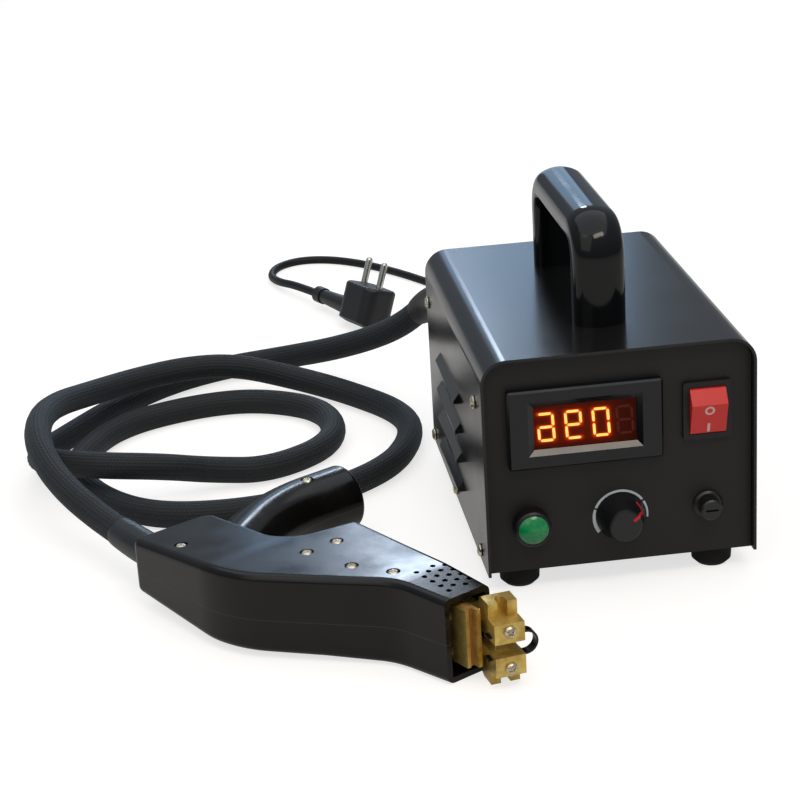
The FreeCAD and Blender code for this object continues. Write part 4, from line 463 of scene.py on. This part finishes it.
def milled_brass():
    """Milled brass: yellow metal with cutter lines 0.35 mm apart, duller and browner in patches."""
    material, tree, shader, where = coat("milled_brass", "#d3ae54", 0.32, 0.8)
    cut = {"Vector": where, "Rotation": (0.0, 0.0, 0.19), "Scale": (1.0, 0.12, 2.6)}
    stretch = add(tree, "ShaderNodeMapping", inputs=cut).outputs[0]
    lines = add(tree, "ShaderNodeTexNoise", inputs={"Vector": stretch, "Scale": 1 / (0.9 * MM), "Detail": 3.0})
    raised(tree, shader, lines.outputs[0], 0.012)
    patches = {"Vector": where, "Scale": 1 / (7 * MM), "Detail": 5.0, "Roughness": 0.6}
    broad = add(tree, "ShaderNodeTexNoise", inputs=patches).outputs[0]
    share = ranged(tree, broad, 0.35, 0.68)
    mixed(tree, share, linear("#e8cc78"), linear("#b9974a"), shader.inputs["Base Color"])
    tree.links.new(ranged(tree, broad, 0.3, 0.7, 0.28, 0.44), shader.inputs["Roughness"])
    return material


def phenolic_paper():
    """Phenolic paper board: brown, its pressed layers drawn as lines 0.8 mm apart so that they show on cut edges."""
    material, tree, shader, where = coat("phenolic_paper", "#5a3a22", 0.5)
    turned = add(tree, "ShaderNodeMapping", inputs={"Vector": where, "Rotation": (0.0, 0.0, -0.54)}).outputs[0]
    waves = {"Vector": turned, "Scale": WAVE / (0.8 * MM), "Distortion": 1.5, "Detail": 2.0}
    layers = add(tree, "ShaderNodeTexWave", {"wave_type": "BANDS", "bands_direction": "X"}, waves)
    mixed(tree, layers.outputs["Fac"], linear("#8a5429"), linear("#ad7740"), shader.inputs["Base Color"])
    return material


def braided_sleeve(ribs):
    """Woven black polyester sleeve: each rib around the hose is a row of threads that lean one way, and the
    next leans back. The threads are drawn 1.7 mm apart, coarser than real ones, so that they show. Their colour is
    painted shade in the grooves between threads and painted highlight on their crests."""
    nap = {"Sheen Weight": 0.18, "Sheen Roughness": 0.45, "Sheen Tint": linear("#9fb0bd"), "Specular IOR Level": 0.4}
    material, tree, shader, _ = coat("braided_polyester", "#16181b", 0.62, sockets=nap)
    uv = add(tree, "ShaderNodeUVMap", {"uv_map": "surface"}).outputs[0]
    split = add(tree, "ShaderNodeSeparateXYZ", inputs={0: uv}).outputs
    lean = maths(tree, "PINGPONG", maths(tree, "MULTIPLY", split[1], float(ribs)), 1.0)
    along = maths(tree, "DIVIDE", split[0], 1.7 * MM)
    cycle = maths(tree, "MULTIPLY", maths(tree, "ADD", along, lean), 2 * math.pi)
    thread = maths(tree, "SINE", cycle)
    raised(tree, shader, thread, 0.12, 0.8)
    # Painted shade and highlight: the colour follows the threads, darker in the grooves and paler on the crests
    share = ranged(tree, thread, -1.0, 1.0)
    mixed(tree, share, linear("#0d0f11"), linear("#1e2225"), shader.inputs["Base Color"])
    return material


def red_acrylic():
    """Cast acrylic tinted red: clear enough to show lit digits, with a bloomed front that hardly mirrors."""
    clear = {"Transmission Weight": 1.0, "IOR": 1.12}
    material, tree, shader, where = coat("red_acrylic", "#f0a58c", 0.02, sockets=clear)
    textured(tree, shader, where, 12.0, 0.001, (0.015, 0.03), ("#f0a58c", "#ec9f86"), 20.0)
    return material


def lit_segment(colour, strength):
    """A lit segment of the display: hot yellow orange, a little redder where its light guide is thin."""
    material, tree, shader, where = coat("display_segment_lit", "#2a0a05", 0.6)
    spots = add(tree, "ShaderNodeTexNoise", inputs={"Vector": where, "Scale": 1.0 / (2.5 * MM)}).outputs[0]
    share = ranged(tree, spots, 0.35, 0.65)
    mixed(tree, share, colour, linear("#ffd468"), shader.inputs["Emission Color"])
    shader.inputs["Emission Strength"].default_value = strength
    return material


def display_glow():
    """The display's film: dark red-brown under a faint painted glow all over, and a brighter painted red glow around
    each burning segment by its own glow attribute.
    """
    material, tree, shader, _ = coat("display_film", "#140402", 0.7, sockets={"Specular IOR Level": 0.1})
    glow = add(tree, "ShaderNodeAttribute", {"attribute_name": "glow"}).outputs["Fac"]
    mixed(tree, glow, linear("#3c1206"), linear("#ff4a10"), shader.inputs["Emission Color"])
    tree.links.new(ranged(tree, glow, 0.0, 1.0, 0.5, 1.3), shader.inputs["Emission Strength"])
    return material


def green_lens():
    """Moulded green polycarbonate over a dark lamp: deep colour, wet gloss, and fine facets inside."""
    gloss = {"Coat Weight": 0.2, "Coat Roughness": 0.12}
    material, tree, shader, where = coat("green_polycarbonate", "#12924f", 0.22, sockets=gloss)
    cells = add(tree, "ShaderNodeTexVoronoi", inputs={"Vector": where, "Scale": 1 / (2.2 * MM)})
    far = cells.outputs["Distance"]
    mixed(tree, far, linear("#17a05a"), linear("#0e7d43"), shader.inputs["Base Color"])
    raised(tree, shader, far, 0.05, 0.3)
    return material


def wound_wire(name, tones, spacing):
    """Rows of round wire or stacked sheets: ridges one spacing in mm apart, up the winding."""
    material, tree, shader, where = coat(name, tones[0], 0.35, 0.9)
    waves = {"Vector": where, "Scale": WAVE / (spacing * MM), "Distortion": 0.3}
    rows = add(tree, "ShaderNodeTexWave", {"wave_type": "BANDS", "bands_direction": "Z"}, waves).outputs["Fac"]
    raised(tree, shader, rows, 0.2, 0.8)
    mixed(tree, rows, linear(tones[0]), linear(tones[1]), shader.inputs["Base Color"])
    return material


def finishes():
    """Every finish by the record's slot."""
    return {
        "black_paint": powder_coat(),
        "panel_paint": panel_enamel(),
        "handle_plastic": moulded("abs_gloss_black", "#0a0b0c", (0.07, 0.12), 14.0, 0.02, None, 0.3),
        "screw_steel": plated("zinc_plated_steel", ("#d8d6d0", "#c7b98f"), (0.2, 0.32)),
        "foot_rubber": moulded("rubber_moulded", "#121212", (0.7, 0.85), 0.9, 0.02, None, 0.3),
        "meter_plastic": moulded("abs_blue_black", "#0d1014", (0.13, 0.2), 0.7, 0.003, None, 0.4),
        "window_red": red_acrylic(),
        "display_black": moulded("display_block_black", "#140605", (0.5, 0.6)),
        "switch_plastic": moulded("nylon_black", "#121213", (0.38, 0.5), 0.7, 0.01, None, 0.4),
        "rocker_red": moulded("polycarbonate_red", "#dc2c29", (0.26, 0.36), 0.9, 0.004, ("#d92a27", "#e2342f")),
        "tab_brass": plated("tinned_brass", ("#c9b46a", "#b79a4c"), (0.3, 0.4)),
        "pot_metal": plated("pressed_zinc", ("#a9abad", "#8f9193"), (0.35, 0.5)),
        "knob_plastic": moulded("phenolic_black", "#0f1013", (0.28, 0.38), 0.9, 0.006),
        "lamp_plastic": moulded("nylon_black_lamp", "#111112", (0.35, 0.45), 0.8, 0.008, None, 0.4),
        "lamp_green": green_lens(),
        "fuse_plastic": moulded("phenolic_black_fuse", "#161616", (0.34, 0.44), 0.7, 0.008),
        "fuse_glass": plated("fuse_tube", ("#c9ced0", "#aab2b5"), (0.12, 0.2)),
        "core_steel": wound_wire("silicon_steel_stack", ("#4b4d50", "#2f3134"), 0.5),
        "winding_copper": wound_wire("enamelled_copper", ("#8a4a22", "#5a2c12"), 1.1),
        "board_green": moulded("glass_epoxy_board", "#1c4a2c", (0.35, 0.5), 1.2, 0.02, ("#1a4429", "#215834")),
        "sink_aluminium": plated("extruded_aluminium", ("#b9bcbf", "#a2a5a8"), (0.3, 0.42)),
        "gland_plastic": moulded("nylon_black_gland", "#17181a", (0.42, 0.55), 0.8, 0.01, None, 0.4),
        "shrink_sleeve": moulded("shrink_polyolefin", "#1c2023", (0.36, 0.46), 5.0, 0.06, ("#1b1f22", "#262b31"), 0.5),
        "cord_rubber": moulded("pvc_sheath_black", "#111112", (0.42, 0.55), 1.0, 0.01, None, 0.3),
        "plug_plastic": moulded("pvc_plug_black", "#1b1c1e", (0.34, 0.46), 0.9, 0.01, None, 0.45),
        "pin_nickel": plated("nickel_plated_brass", ("#dcdad4", "#c4c0b4"), (0.14, 0.24)),
        "gun_plastic": gun_abs(),
        "jaw_brass": milled_brass(),
        "insulator_brown": phenolic_paper(),
        "blade_steel": plated("blued_steel", ("#23262d", "#3a3d45"), (0.22, 0.34)),
        "hose_braid": braided_sleeve(bpy.context.scene.cutter_hose.ribs),
    }


FINISH = {}


# ---------------------------------------------------------------- settings


class CutterStage(bpy.types.PropertyGroup):
    """Floor and light around the cutter."""

    floor: FloatVectorProperty(
        name="Floor", description="Colour of the floor", default=linear("#b8b3ad"),
        subtype="COLOR", size=4, min=0.0, max=1.0)
    lift: FloatProperty(
        name="Lift", description="White that the camera adds to the floor", default=0.7, min=0.0, max=1.0)
    overhead: FloatProperty(
        name="Overhead", description="Power of the large soft light above", default=15.0, unit="POWER")
    key: FloatProperty(
        name="Key", description="Power of the soft light at the front left", default=4.0, unit="POWER")
    window: FloatProperty(
        name="Window", description="Power of the low blue light behind, which the tops mirror", default=1.85,
        unit="POWER")
    pane: FloatProperty(
        name="Pane", description="Power of the small bright light behind, above the window", default=3.4,
        unit="POWER")
    strip: FloatProperty(
        name="Strip", description="Power of the narrow light above the front", default=8.0, unit="POWER")


class CutterHose(bpy.types.PropertyGroup):
    """Braided hose from the power unit to the hand tool."""

    diameter: FloatProperty(name="Diameter", description="Across the sleeve", default=0.0155, unit="LENGTH")
    length: FloatProperty(name="Length", description="From the gland to the hand tool", default=1.76, unit="LENGTH")
    ribs: IntProperty(name="Ribs", description="Rows of threads around the sleeve", default=24, min=8)
    rib: FloatProperty(name="Rib height", description="How far each row stands up", default=0.0003, unit="LENGTH")
    boot: FloatProperty(
        name="Boot", description="Length of the thick sleeve behind the case", default=0.06, unit="LENGTH")
    sleeve: FloatProperty(
        name="Sleeve", description="Length of the shrunk sleeve at the hand tool", default=0.042, unit="LENGTH")


class CutterLead(bpy.types.PropertyGroup):
    """Mains lead with its tied coil and plug."""

    diameter: FloatProperty(name="Diameter", description="Across the sheath", default=0.006, unit="LENGTH")
    length: FloatProperty(name="Length", description="From the case to the plug", default=1.47, unit="LENGTH")
    per_turn: IntProperty(
        name="Points in a turn", description="Control points in each turn of the coil", default=16, min=12)


class CutterPanel(bpy.types.PropertyGroup):
    """Lit digits of the front panel's meter."""

    digits: StringProperty(
        name="Digits", description="Lit digits from the left; a dash leaves one dark", default="690-")
    mirrored: BoolProperty(
        name="Mirrored", description="Digits reversed, as the photograph shows the whole front", default=True)
    digit: FloatProperty(name="Digit height", description="Height of a digit", default=0.0142, unit="LENGTH")
    lit: FloatVectorProperty(
        name="Lit", description="Colour of a lit segment", default=linear("#ffe07a"),
        subtype="COLOR", size=4, min=0.0, max=1.0)
    power: FloatProperty(name="Lit power", description="Brightness of a lit segment", default=2.0, min=0.0)


SETTINGS = {
    "cutter_stage": CutterStage, "cutter_hose": CutterHose, "cutter_lead": CutterLead, "cutter_panel": CutterPanel,
}


# ---------------------------------------------------------------- operators


def soft_light(name, place, aim, size, power, colour):
    """A large soft area light at a place, turned to an aim point."""
    lamp = bpy.data.lights.new(name, "AREA")
    lamp.shape = "RECTANGLE"
    lamp.size, lamp.size_y = size
    lamp.energy = power
    lamp.color = linear(colour)[:3]
    obj = bpy.data.objects.new(name, lamp)
    obj.location = place
    obj.rotation_euler = (Vector(aim) - Vector(place)).to_track_quat("-Z", "Y").to_euler()
    bpy.context.scene.collection.objects.link(obj)
    return obj


class CUTTER_OT_stage(bpy.types.Operator):
    """Camera at the photograph's viewing angle, pale floor, white surround and soft studio light"""

    bl_idname = "cutter.stage"
    bl_label = "Stage"

    def execute(self, context):
        scene = context.scene
        settings = scene.cutter_stage
        white = (1.0, 1.0, 1.0, 1.0)
        scene.view_settings.view_transform = "Standard"
        yaw, pitch, roll = (math.radians(v) for v in CAMERA_TURN)
        ahead = np.array([math.sin(yaw) * math.cos(pitch), math.cos(yaw) * math.cos(pitch), -math.sin(pitch)])
        right = np.array([math.cos(yaw), -math.sin(yaw), 0.0])
        up = np.cross(right, ahead)
        across = right * math.cos(roll) + up * math.sin(roll)
        upward = up * math.cos(roll) - right * math.sin(roll)
        turn = np.eye(4)
        turn[:3, 0], turn[:3, 1], turn[:3, 2] = across, upward, -ahead
        turn[:3, 3] = np.array(CAMERA_PLACE) * MM
        lens = bpy.data.cameras.new("camera")
        lens.sensor_width = 36.0
        lens.lens = CAMERA_LENS
        lens.clip_end = 30.0
        camera = bpy.data.objects.new("camera", lens)
        scene.collection.objects.link(camera)
        camera.matrix_world = Matrix(turn.tolist())
        scene.camera = camera

        edge = FLOOR_EDGE
        mesh = bpy.data.meshes.new("floor")
        mesh.from_pydata([(-edge, -edge, 0), (edge, -edge, 0), (edge, edge, 0), (-edge, edge, 0)], [], [(0, 1, 2, 3)])
        floor = bpy.data.objects.new("floor", mesh)
        scene.collection.objects.link(floor)
        # Pale painted floor: matt, with faint cloudy unevenness; what the camera sees of it is lifted to white
        material, tree, shader, where = coat("floor_paint", "#b8b3ad", 0.9, sockets={"Specular IOR Level": 0.1})
        cloud = add(tree, "ShaderNodeTexNoise", inputs={"Vector": where, "Scale": 1.0 / (400 * MM)}).outputs[0]
        mixed(tree, cloud, linear("#b4afa9"), settings.floor[:], shader.inputs["Base Color"])
        ray = add(tree, "ShaderNodeLightPath").outputs
        seen = maths(tree, "MULTIPLY", ray["Is Camera Ray"], settings.lift)
        mirrored = maths(tree, "MULTIPLY", ray["Is Glossy Ray"], 0.25)
        through = maths(tree, "MULTIPLY_ADD", ray["Is Transmission Ray"], 0.1, mirrored)
        shader.inputs["Emission Color"].default_value = white
        tree.links.new(maths(tree, "ADD", seen, through), shader.inputs["Emission Strength"])
        mesh.materials.append(material)

        world = bpy.data.worlds.new("surround")
        world.use_nodes = True
        scene.world = world
        tree = world.node_tree
        sky = tree.nodes["Background"]
        seen = add(tree, "ShaderNodeLightPath").outputs["Is Camera Ray"]
        where = add(tree, "ShaderNodeTexCoord").outputs["Generated"]
        height = add(tree, "ShaderNodeSeparateXYZ", inputs={0: where}).outputs[2]
        hall = mixed(tree, ranged(tree, height, 0.0, 0.9), linear("#9aa7b5"), linear("#e8ecf0"))
        mixed(tree, seen, hall, white, sky.inputs[0])
        tree.links.new(ranged(tree, seen, 0.0, 1.0, 0.55, 1.0), sky.inputs[1])

        aim = (0.0, 0.05, 0.05)
        soft_light("light_overhead", (0.0, 0.1, 1.7), aim, (2.4, 2.4), settings.overhead, "#f4f8ff")
        soft_light("light_key", (-1.1, -1.3, 1.3), aim, (1.4, 1.4), settings.key, "#fff6ea")
        soft_light("light_window", (0.21, 2.0, 0.62), (0.05, 0.05, 0.1), (0.68, 0.6), settings.window, "#add6ff")
        soft_light("light_pane", (0.2, 2.0, 1.08), (-0.05, -0.1, 0.05), (0.22, 0.3), settings.pane, "#dcebff")
        soft_light("light_strip", (0.35, -1.1, 1.65), aim, (1.0, 0.3), settings.strip, "#fff2e0")
        return {"FINISHED"}


class CUTTER_OT_hose(bpy.types.Operator):
    """Braided hose along its laid line, with its boot at the case and the shrunk sleeve at the hand tool"""

    bl_idname = "cutter.hose"
    bl_label = "Hose"

    def execute(self, context):
        settings = context.scene.cutter_hose
        half = settings.diameter / 2
        line = laid_line("hose_line", np.array(HOSE_ROUTE) * MM)
        path, reach = points_of(line, HOSE_STEP * MM)
        bpy.data.objects.remove(line)
        # Ribs: the radius falls between rows of threads as the square of a cosine around the tube
        around = 4 * settings.ribs
        turn = np.linspace(0.0, 2.0 * math.pi, around, endpoint=False)
        radius = half - settings.rib * np.cos(turn * settings.ribs / 2.0) ** 2
        ring = swept(path, np.repeat(radius[None], len(path), axis=0), around)
        first, last = (np.repeat(path[k][None, None], around, axis=1) for k in (0, -1))
        tube = np.concatenate([first, ring, last])
        along = np.concatenate([reach[:1], reach, reach[-1:]])
        uv = grid_uv(along, np.linspace(0.0, 1.0, around + 1))
        surface = [(tube, grid_faces(len(tube), around, True))]
        hose = piece("hose", surface, FINISH["hose_braid"], "machine", uv=uv)
        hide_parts("tool_hose")

        def skin(name, part, wall, slot):
            """A sleeve over part of the hose: rings of the given radii, closed down to the hose at both ends."""
            close = np.full((2, SKIN_AROUND), half - SKIN_SINK)
            outer = swept(part, np.repeat(wall[:, None], SKIN_AROUND, axis=1), SKIN_AROUND)
            start = swept(part[:2], close, SKIN_AROUND)[:1]
            end = swept(part[-2:], close, SKIN_AROUND)[-1:]
            shell = np.concatenate([start, outer, end])
            surface = [(shell, grid_faces(len(shell), SKIN_AROUND, True))]
            return piece(name, surface, FINISH[slot], "machine")

        # Shrunk sleeve: follows the hose's last stretch, swelling to the tool
        part = path[reach >= reach[-1] - settings.sleeve]
        share = np.linspace(0.0, 1.0, len(part))
        wall = half + 0.0005 + 0.0007 * np.sin(share * math.pi) ** 0.7 + 0.0004 * share
        sleeve = skin("hose_sleeve", part, wall, "shrink_sleeve")
        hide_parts("hose_end_sleeve")
        # Boot: a thicker sleeve over the first stretch behind the case, drawn in toward its free end
        part = path[reach <= settings.boot]
        share = np.linspace(0.0, 1.0, len(part))
        skin("hose_boot", part, BOOT_RADIUS - 0.0006 * share - 0.0019 * share ** 6, "gland_plastic")
        return {"FINISHED"}


class CUTTER_OT_lead(bpy.types.Operator):
    """Mains lead: down from the case, a tied coil, then along the floor to the plug"""

    bl_idname = "cutter.lead"
    bl_label = "Mains lead"

    def execute(self, context):
        settings = context.scene.cutter_lead
        # Coil: in on the low layer, part of a turn of climb, and out on the high layer
        total = 2 * COIL_TURNS + COIL_CLIMB
        turns = np.linspace(0.0, total, int(total * settings.per_turn) + 1)
        share = np.clip((turns - COIL_TURNS) / COIL_CLIMB, 0.0, 1.0)
        wound = np.minimum(turns, COIL_TURNS) - np.maximum(turns - COIL_TURNS - COIL_CLIMB, 0.0)
        radius = COIL_RADIUS - COIL_PITCH * wound
        level = COIL_LEVELS[0] + (COIL_LEVELS[1] - COIL_LEVELS[0]) * share * share * (3 - 2 * share)
        angle = 2 * math.pi * turns
        x = COIL_CENTRE[0] + radius * np.cos(angle)
        y = COIL_CENTRE[1] + radius * np.sin(angle)
        coil = np.stack([x, y, level], axis=1)
        route = np.concatenate([np.array(LEAD_ROUTE), coil, np.array(CORD_ROUTE)]) * MM
        flex = laid_line("mains_flex", route)
        flex.data.bevel_depth = settings.diameter / 2
        flex.data.bevel_resolution = 6
        flex.data.use_fill_caps = True
        flex.data.materials.append(FINISH["cord_rubber"])
        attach(flex, "machine")
        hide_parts("mains_lead", "mains_coil", "mains_cord")
        return {"FINISHED"}


class CUTTER_OT_screws(bpy.types.Operator):
    """Pan-head screws with cross recesses on the hand tool, the case, the feet and the jaws"""

    bl_idname = "cutter.screws"
    bl_label = "Screws"

    def execute(self, context):
        up, down = (0.0, 0.0, 1.0), (0.0, 0.0, -1.0)
        shell = [(seat, up, 0.4 + 0.9 * k) for k, seat in enumerate(SHELL_SEATS)]
        cover = [
            ((x, y, z), (side, 0.0, 0.0), 0.3 + 0.7 * k)
            for side, x in CASE_SIDES for k, (y, z) in enumerate(COVER_SEATS)
        ]
        feet = [(seat, down, 0.2 + 0.5 * k) for k, seat in enumerate(FOOT_SEATS)]
        jaws = [(seat, JAW_FACING, 0.6 + 0.4 * k) for k, seat in enumerate(JAW_SEATS)]
        upper = [(CLAMP_SEATS["upper"], CLAMP_FACING, 0.75)]
        lower = [(CLAMP_SEATS["lower"], CLAMP_FACING, 0.35)]
        # Seats, then head, head height, shank and bite in mm, then the body and the solid it stands for
        groups = {
            "screws_shell": (shell, (6.0, 2.0, 3.0, 8.0), "machine", "shell_screws"),
            "screws_cover": (cover, (7.0, 2.2, 3.8, 6.0), "machine", "cover_screws"),
            "screws_feet": (feet, (7.5, 2.6, 3.8, 8.0), "machine", "foot_screws"),
            "screws_jaws": (jaws, (6.0, 2.4, 3.0, 10.0), "machine", "jaw_screws"),
            "screw_clamp_upper": (upper, (6.0, 2.4, 3.0, 17.0), "upper_screw", "clamp_screw_upper"),
            "screw_clamp_lower": (lower, (6.0, 2.4, 3.0, 17.0), "lower_screw", "clamp_screw_lower"),
        }
        for name, (seats, sizes, body, node) in groups.items():
            obj = piece(name, screw_set(seats, sizes), FINISH["screw_steel"], body)
            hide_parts(node)
        return {"FINISHED"}


SEGMENTS = {
    "0": "abcdef", "1": "bc", "2": "abged", "3": "abgcd", "4": "fgbc", "5": "afgcd", "6": "afgedc", "7": "abc",
    "8": "abcdefg", "9": "abcdfg", "-": "",
}
SEGMENT_LINES = {
    "a": ((0, 1), (1, 1)), "b": ((1, 1), (1, 0.5)), "c": ((1, 0.5), (1, 0)), "d": ((0, 0), (1, 0)),
    "e": ((0, 0.5), (0, 0)), "f": ((0, 1), (0, 0.5)), "g": ((0, 0.5), (1, 0.5)),
}


def segment_ends(letter, left, height, mirrored):
    """Ends of one segment in mm: a digit's box leans over a little, with its top to the right unless mirrored."""
    ends = np.array(SEGMENT_LINES[letter], float)
    lean = -0.06 if mirrored else 0.06
    across = 1.0 - ends[:, 0] if mirrored else ends[:, 0]
    x = DISPLAY_CENTRE[0] + left + across * 0.53 * height + (ends[:, 1] - 0.5) * lean * height
    z = DISPLAY_CENTRE[1] + (ends[:, 1] - 0.5) * height
    ends = np.stack([x, z], axis=1)
    trim = (ends[1] - ends[0]) / np.linalg.norm(ends[1] - ends[0])
    return np.array([ends[0] + trim * 0.45, ends[1] - trim * 0.45])


def segment_outline(ends, width):
    """A six-sided bar from one end to the other, pointed at both."""
    start, end = ends
    along = (end - start) / np.linalg.norm(end - start)
    side = np.array([-along[1], along[0]]) * width / 2
    inset = along * width / 2
    return np.array([
        start, start + inset - side, end - inset - side, end, end - inset + side, start + inset + side,
    ])


class CUTTER_OT_digits(bpy.types.Operator):
    """Seven-segment digits behind the tinted window, the glow around those that are lit, and the window's liner"""

    bl_idname = "cutter.digits"
    bl_label = "Digits"

    def execute(self, context):
        settings = context.scene.cutter_panel
        height = settings.digit / MM
        lit, dark = [], []
        for left, mark in zip(DIGIT_LEFTS, settings.digits):
            lines, letters = (lit, SEGMENTS[mark]) if SEGMENTS[mark] else (dark, "abcdefg")
            lines += [segment_ends(letter, left, height, settings.mirrored) for letter in letters]

        def bars(lines):
            """Thin bars along the given middle lines, standing off the film."""
            return [plate(segment_outline(ends, BAR_WIDTH), DISPLAY_FRONT - BAR_LIFT, BAR_THICK) for ends in lines]

        burning = lit_segment(settings.lit[:], settings.power)
        piece("digits_lit", bars(lit), burning, "machine", smooth=False)
        # Bars of a dark digit: the same moulded light guides, given a faint painted glow so that they stand a little
        # paler than the film
        material, tree, shader, where = coat("display_segment_dark", "#2c0d08", 0.5)
        textured(tree, shader, where, 0.5, 0.004, (0.45, 0.55))
        shader.inputs["Emission Color"].default_value = linear("#5a1c0c")
        shader.inputs["Emission Strength"].default_value = 0.35
        piece("digits_dark", bars(dark), material, "machine", smooth=False)
        # Glow on a fine grid: a halo by the distance to the nearest lit bar's edge, plus a faint wide sum over all
        # bars by the distance to their middle lines, both falling exponentially
        x = np.linspace(-FILM_HALF[0], FILM_HALF[0], 160) + DISPLAY_CENTRE[0]
        z = np.linspace(-FILM_HALF[1], FILM_HALF[1], 76) + DISPLAY_CENTRE[1]
        grid = np.stack(np.meshgrid(x, z, indexing="ij"), axis=-1)
        a, b = (np.array([ends[k] for ends in lit]) for k in (0, 1))
        off = grid[:, :, None, :] - a
        part = np.clip((off * (b - a)).sum(-1) / ((b - a) ** 2).sum(-1), 0.0, 1.0)
        gap = np.linalg.norm(off - part[..., None] * (b - a), axis=-1)
        halo = np.exp(-np.clip(gap.min(axis=-1) - BAR_WIDTH / 2, 0, None) / 0.7)
        glow = np.clip(halo * 0.5 + 0.035 * np.exp(-gap / 4.0).sum(axis=-1), 0.0, 1.0)
        points = np.stack([grid[..., 0], np.full(grid.shape[:2], DISPLAY_FRONT - 0.03), grid[..., 1]], axis=-1) * MM
        film = [(points, grid_faces(*grid.shape[:2]))]
        face = piece("display_face", film, display_glow(), "machine")
        layer = face.data.attributes.new("glow", "FLOAT", "POINT")
        layer.data.foreach_set("value", glow.astype(np.float32).ravel())
        # Liner: the bezel's face carried in to a mouth around the window, then a slope down to the window
        rows = [(*LINER_FACE, BEZEL_FRONT + 0.3), (*LINER_FACE, BEZEL_FRONT - 0.04)]
        rows += [(*LINER_MOUTH, BEZEL_FRONT - 0.04), (*LINER_WINDOW, WINDOW_FRONT - 0.02)]
        liner = [framed(rows, DISPLAY_CENTRE)]
        piece("meter_liner", liner, FINISH["meter_plastic"], "machine", smooth=False)
        return {"FINISHED"}


class CUTTER_OT_marks(bpy.types.Operator):
    """Printed scale around the dial, the dial's pointer, and the ring and bar on the rocker"""

    bl_idname = "cutter.marks"
    bl_label = "Panel marks"

    def execute(self, context):
        # Printing inks: thin matt films with a fine tooth, a little paler where they lie thick
        pale = moulded("screen_ink_pale", "#c9d2d6", (0.5, 0.62), 0.5, 0.004, ("#c3ccd0", "#d4dcdf"), patch=6.0)
        red = moulded("screen_ink_red", "#d8202c", (0.42, 0.55), 0.5, 0.004, ("#cf1c28", "#dd2a35"), patch=5.0)
        pink = moulded("pad_ink_pink", "#e8c4c0", (0.45, 0.55), 0.5, 0.004, ("#e2bcb8", "#eccac6"), patch=4.0)
        centre = np.array(DIAL_CENTRE)
        # Scale: three arcs about the dial whose width shrinks as they run on clockwise
        arcs = []
        for first, last in SCALE_ARCS:
            angle = np.linspace(first, last, 40)
            wide = np.interp(angle, SCALE_ANGLES, SCALE_WIDTHS)
            ring = np.stack([np.cos(np.radians(angle)), np.sin(np.radians(angle))], axis=1)
            inner = centre + ring * (SCALE_RADIUS - wide)[:, None]
            arcs.append(band(inner, centre + ring * SCALE_RADIUS, PANEL_FRONT - INK, INK))
        piece("dial_scale", arcs, pale, "machine", smooth=False)

        # Pointer: a bent red strip on the knob's cone, its corner outward
        strips = [knob_strip(places, POINTER_WIDTH) for places in POINTER_STRIPS]
        piece("knob_pointer", strips, red, "dial", smooth=False)

        # Rocker: a ring near its ridge and a bar near its foot, printed on the long face
        face = np.eye(4)
        face[:3, :3] = np.array(ROCKER_AXES).T
        face[:3, 3] = np.array(ROCKER_RIDGE) * MM
        turn = np.linspace(0.0, 2.0 * math.pi, 49)
        ring = np.stack([np.cos(turn), np.sin(turn)], axis=1)
        middle = np.array([0.0, -0.2 * ROCKER_FACE])
        low = -0.81 * ROCKER_FACE
        bar = np.array([(-0.7, low - 2.5), (0.7, low - 2.5), (0.7, low + 2.5), (-0.7, low + 2.5)])
        signs = [band(middle + 1.45 * ring, middle + 2.55 * ring, -INK, 2 * INK), plate(bar, -INK, 2 * INK)]
        signs = [(placed(points, face), quads) for points, quads in signs]
        piece("rocker_signs", signs, pink, "rocker_body", smooth=False)
        return {"FINISHED"}


class CUTTER_OT_finishes(bpy.types.Operator):
    """Gives every solid of the frame the finish of its slot"""

    bl_idname = "cutter.finishes"
    bl_label = "Finishes"

    def execute(self, context):
        FINISH.update(finishes())
        for entry in frame["record"]["subparts"]:
            mesh = frame["nodes"][entry["node"]].data
            finish = FINISH[entry["material_slot"]]
            if not mesh.materials:
                mesh.materials.append(finish)
            for k in range(len(mesh.materials)):
                mesh.materials[k] = finish
        return {"FINISHED"}


class CUTTER_PT_panel(bpy.types.Panel):
    """Lists the cutter's settings and the steps that build its dressing"""

    bl_idname = "CUTTER_PT_panel"
    bl_label = "Groove cutter"
    bl_space_type = "VIEW_3D"
    bl_region_type = "UI"
    bl_category = "Cutter"

    def draw(self, context):
        for name, group in SETTINGS.items():
            box = self.layout.box()
            for key in group.__annotations__:
                box.prop(getattr(context.scene, name), key)
        for step in OPERATORS:
            self.layout.operator(step.bl_idname)


OPERATORS = (
    CUTTER_OT_stage, CUTTER_OT_finishes, CUTTER_OT_hose, CUTTER_OT_lead, CUTTER_OT_screws, CUTTER_OT_digits,
    CUTTER_OT_marks,
)


def register():
    """Registers the settings, the operators and the panel."""
    for group in SETTINGS.values():
        bpy.utils.register_class(group)
    for name, group in SETTINGS.items():
        setattr(bpy.types.Scene, name, PointerProperty(type=group))
    for item in OPERATORS + (CUTTER_PT_panel,):
        bpy.utils.register_class(item)


def unregister():
    """Removes what register added."""
    for item in (CUTTER_PT_panel,) + OPERATORS[::-1]:
        bpy.utils.unregister_class(item)
    for name in SETTINGS:
        delattr(bpy.types.Scene, name)
    for group in SETTINGS.values():
        bpy.utils.unregister_class(group)


def main():
    """Builds the dressing in order."""
    register()
    for step in OPERATORS:
        group, name = step.bl_idname.split(".")
        getattr(getattr(bpy.ops, group), name)()


if __name__ == "__main__":
    main()
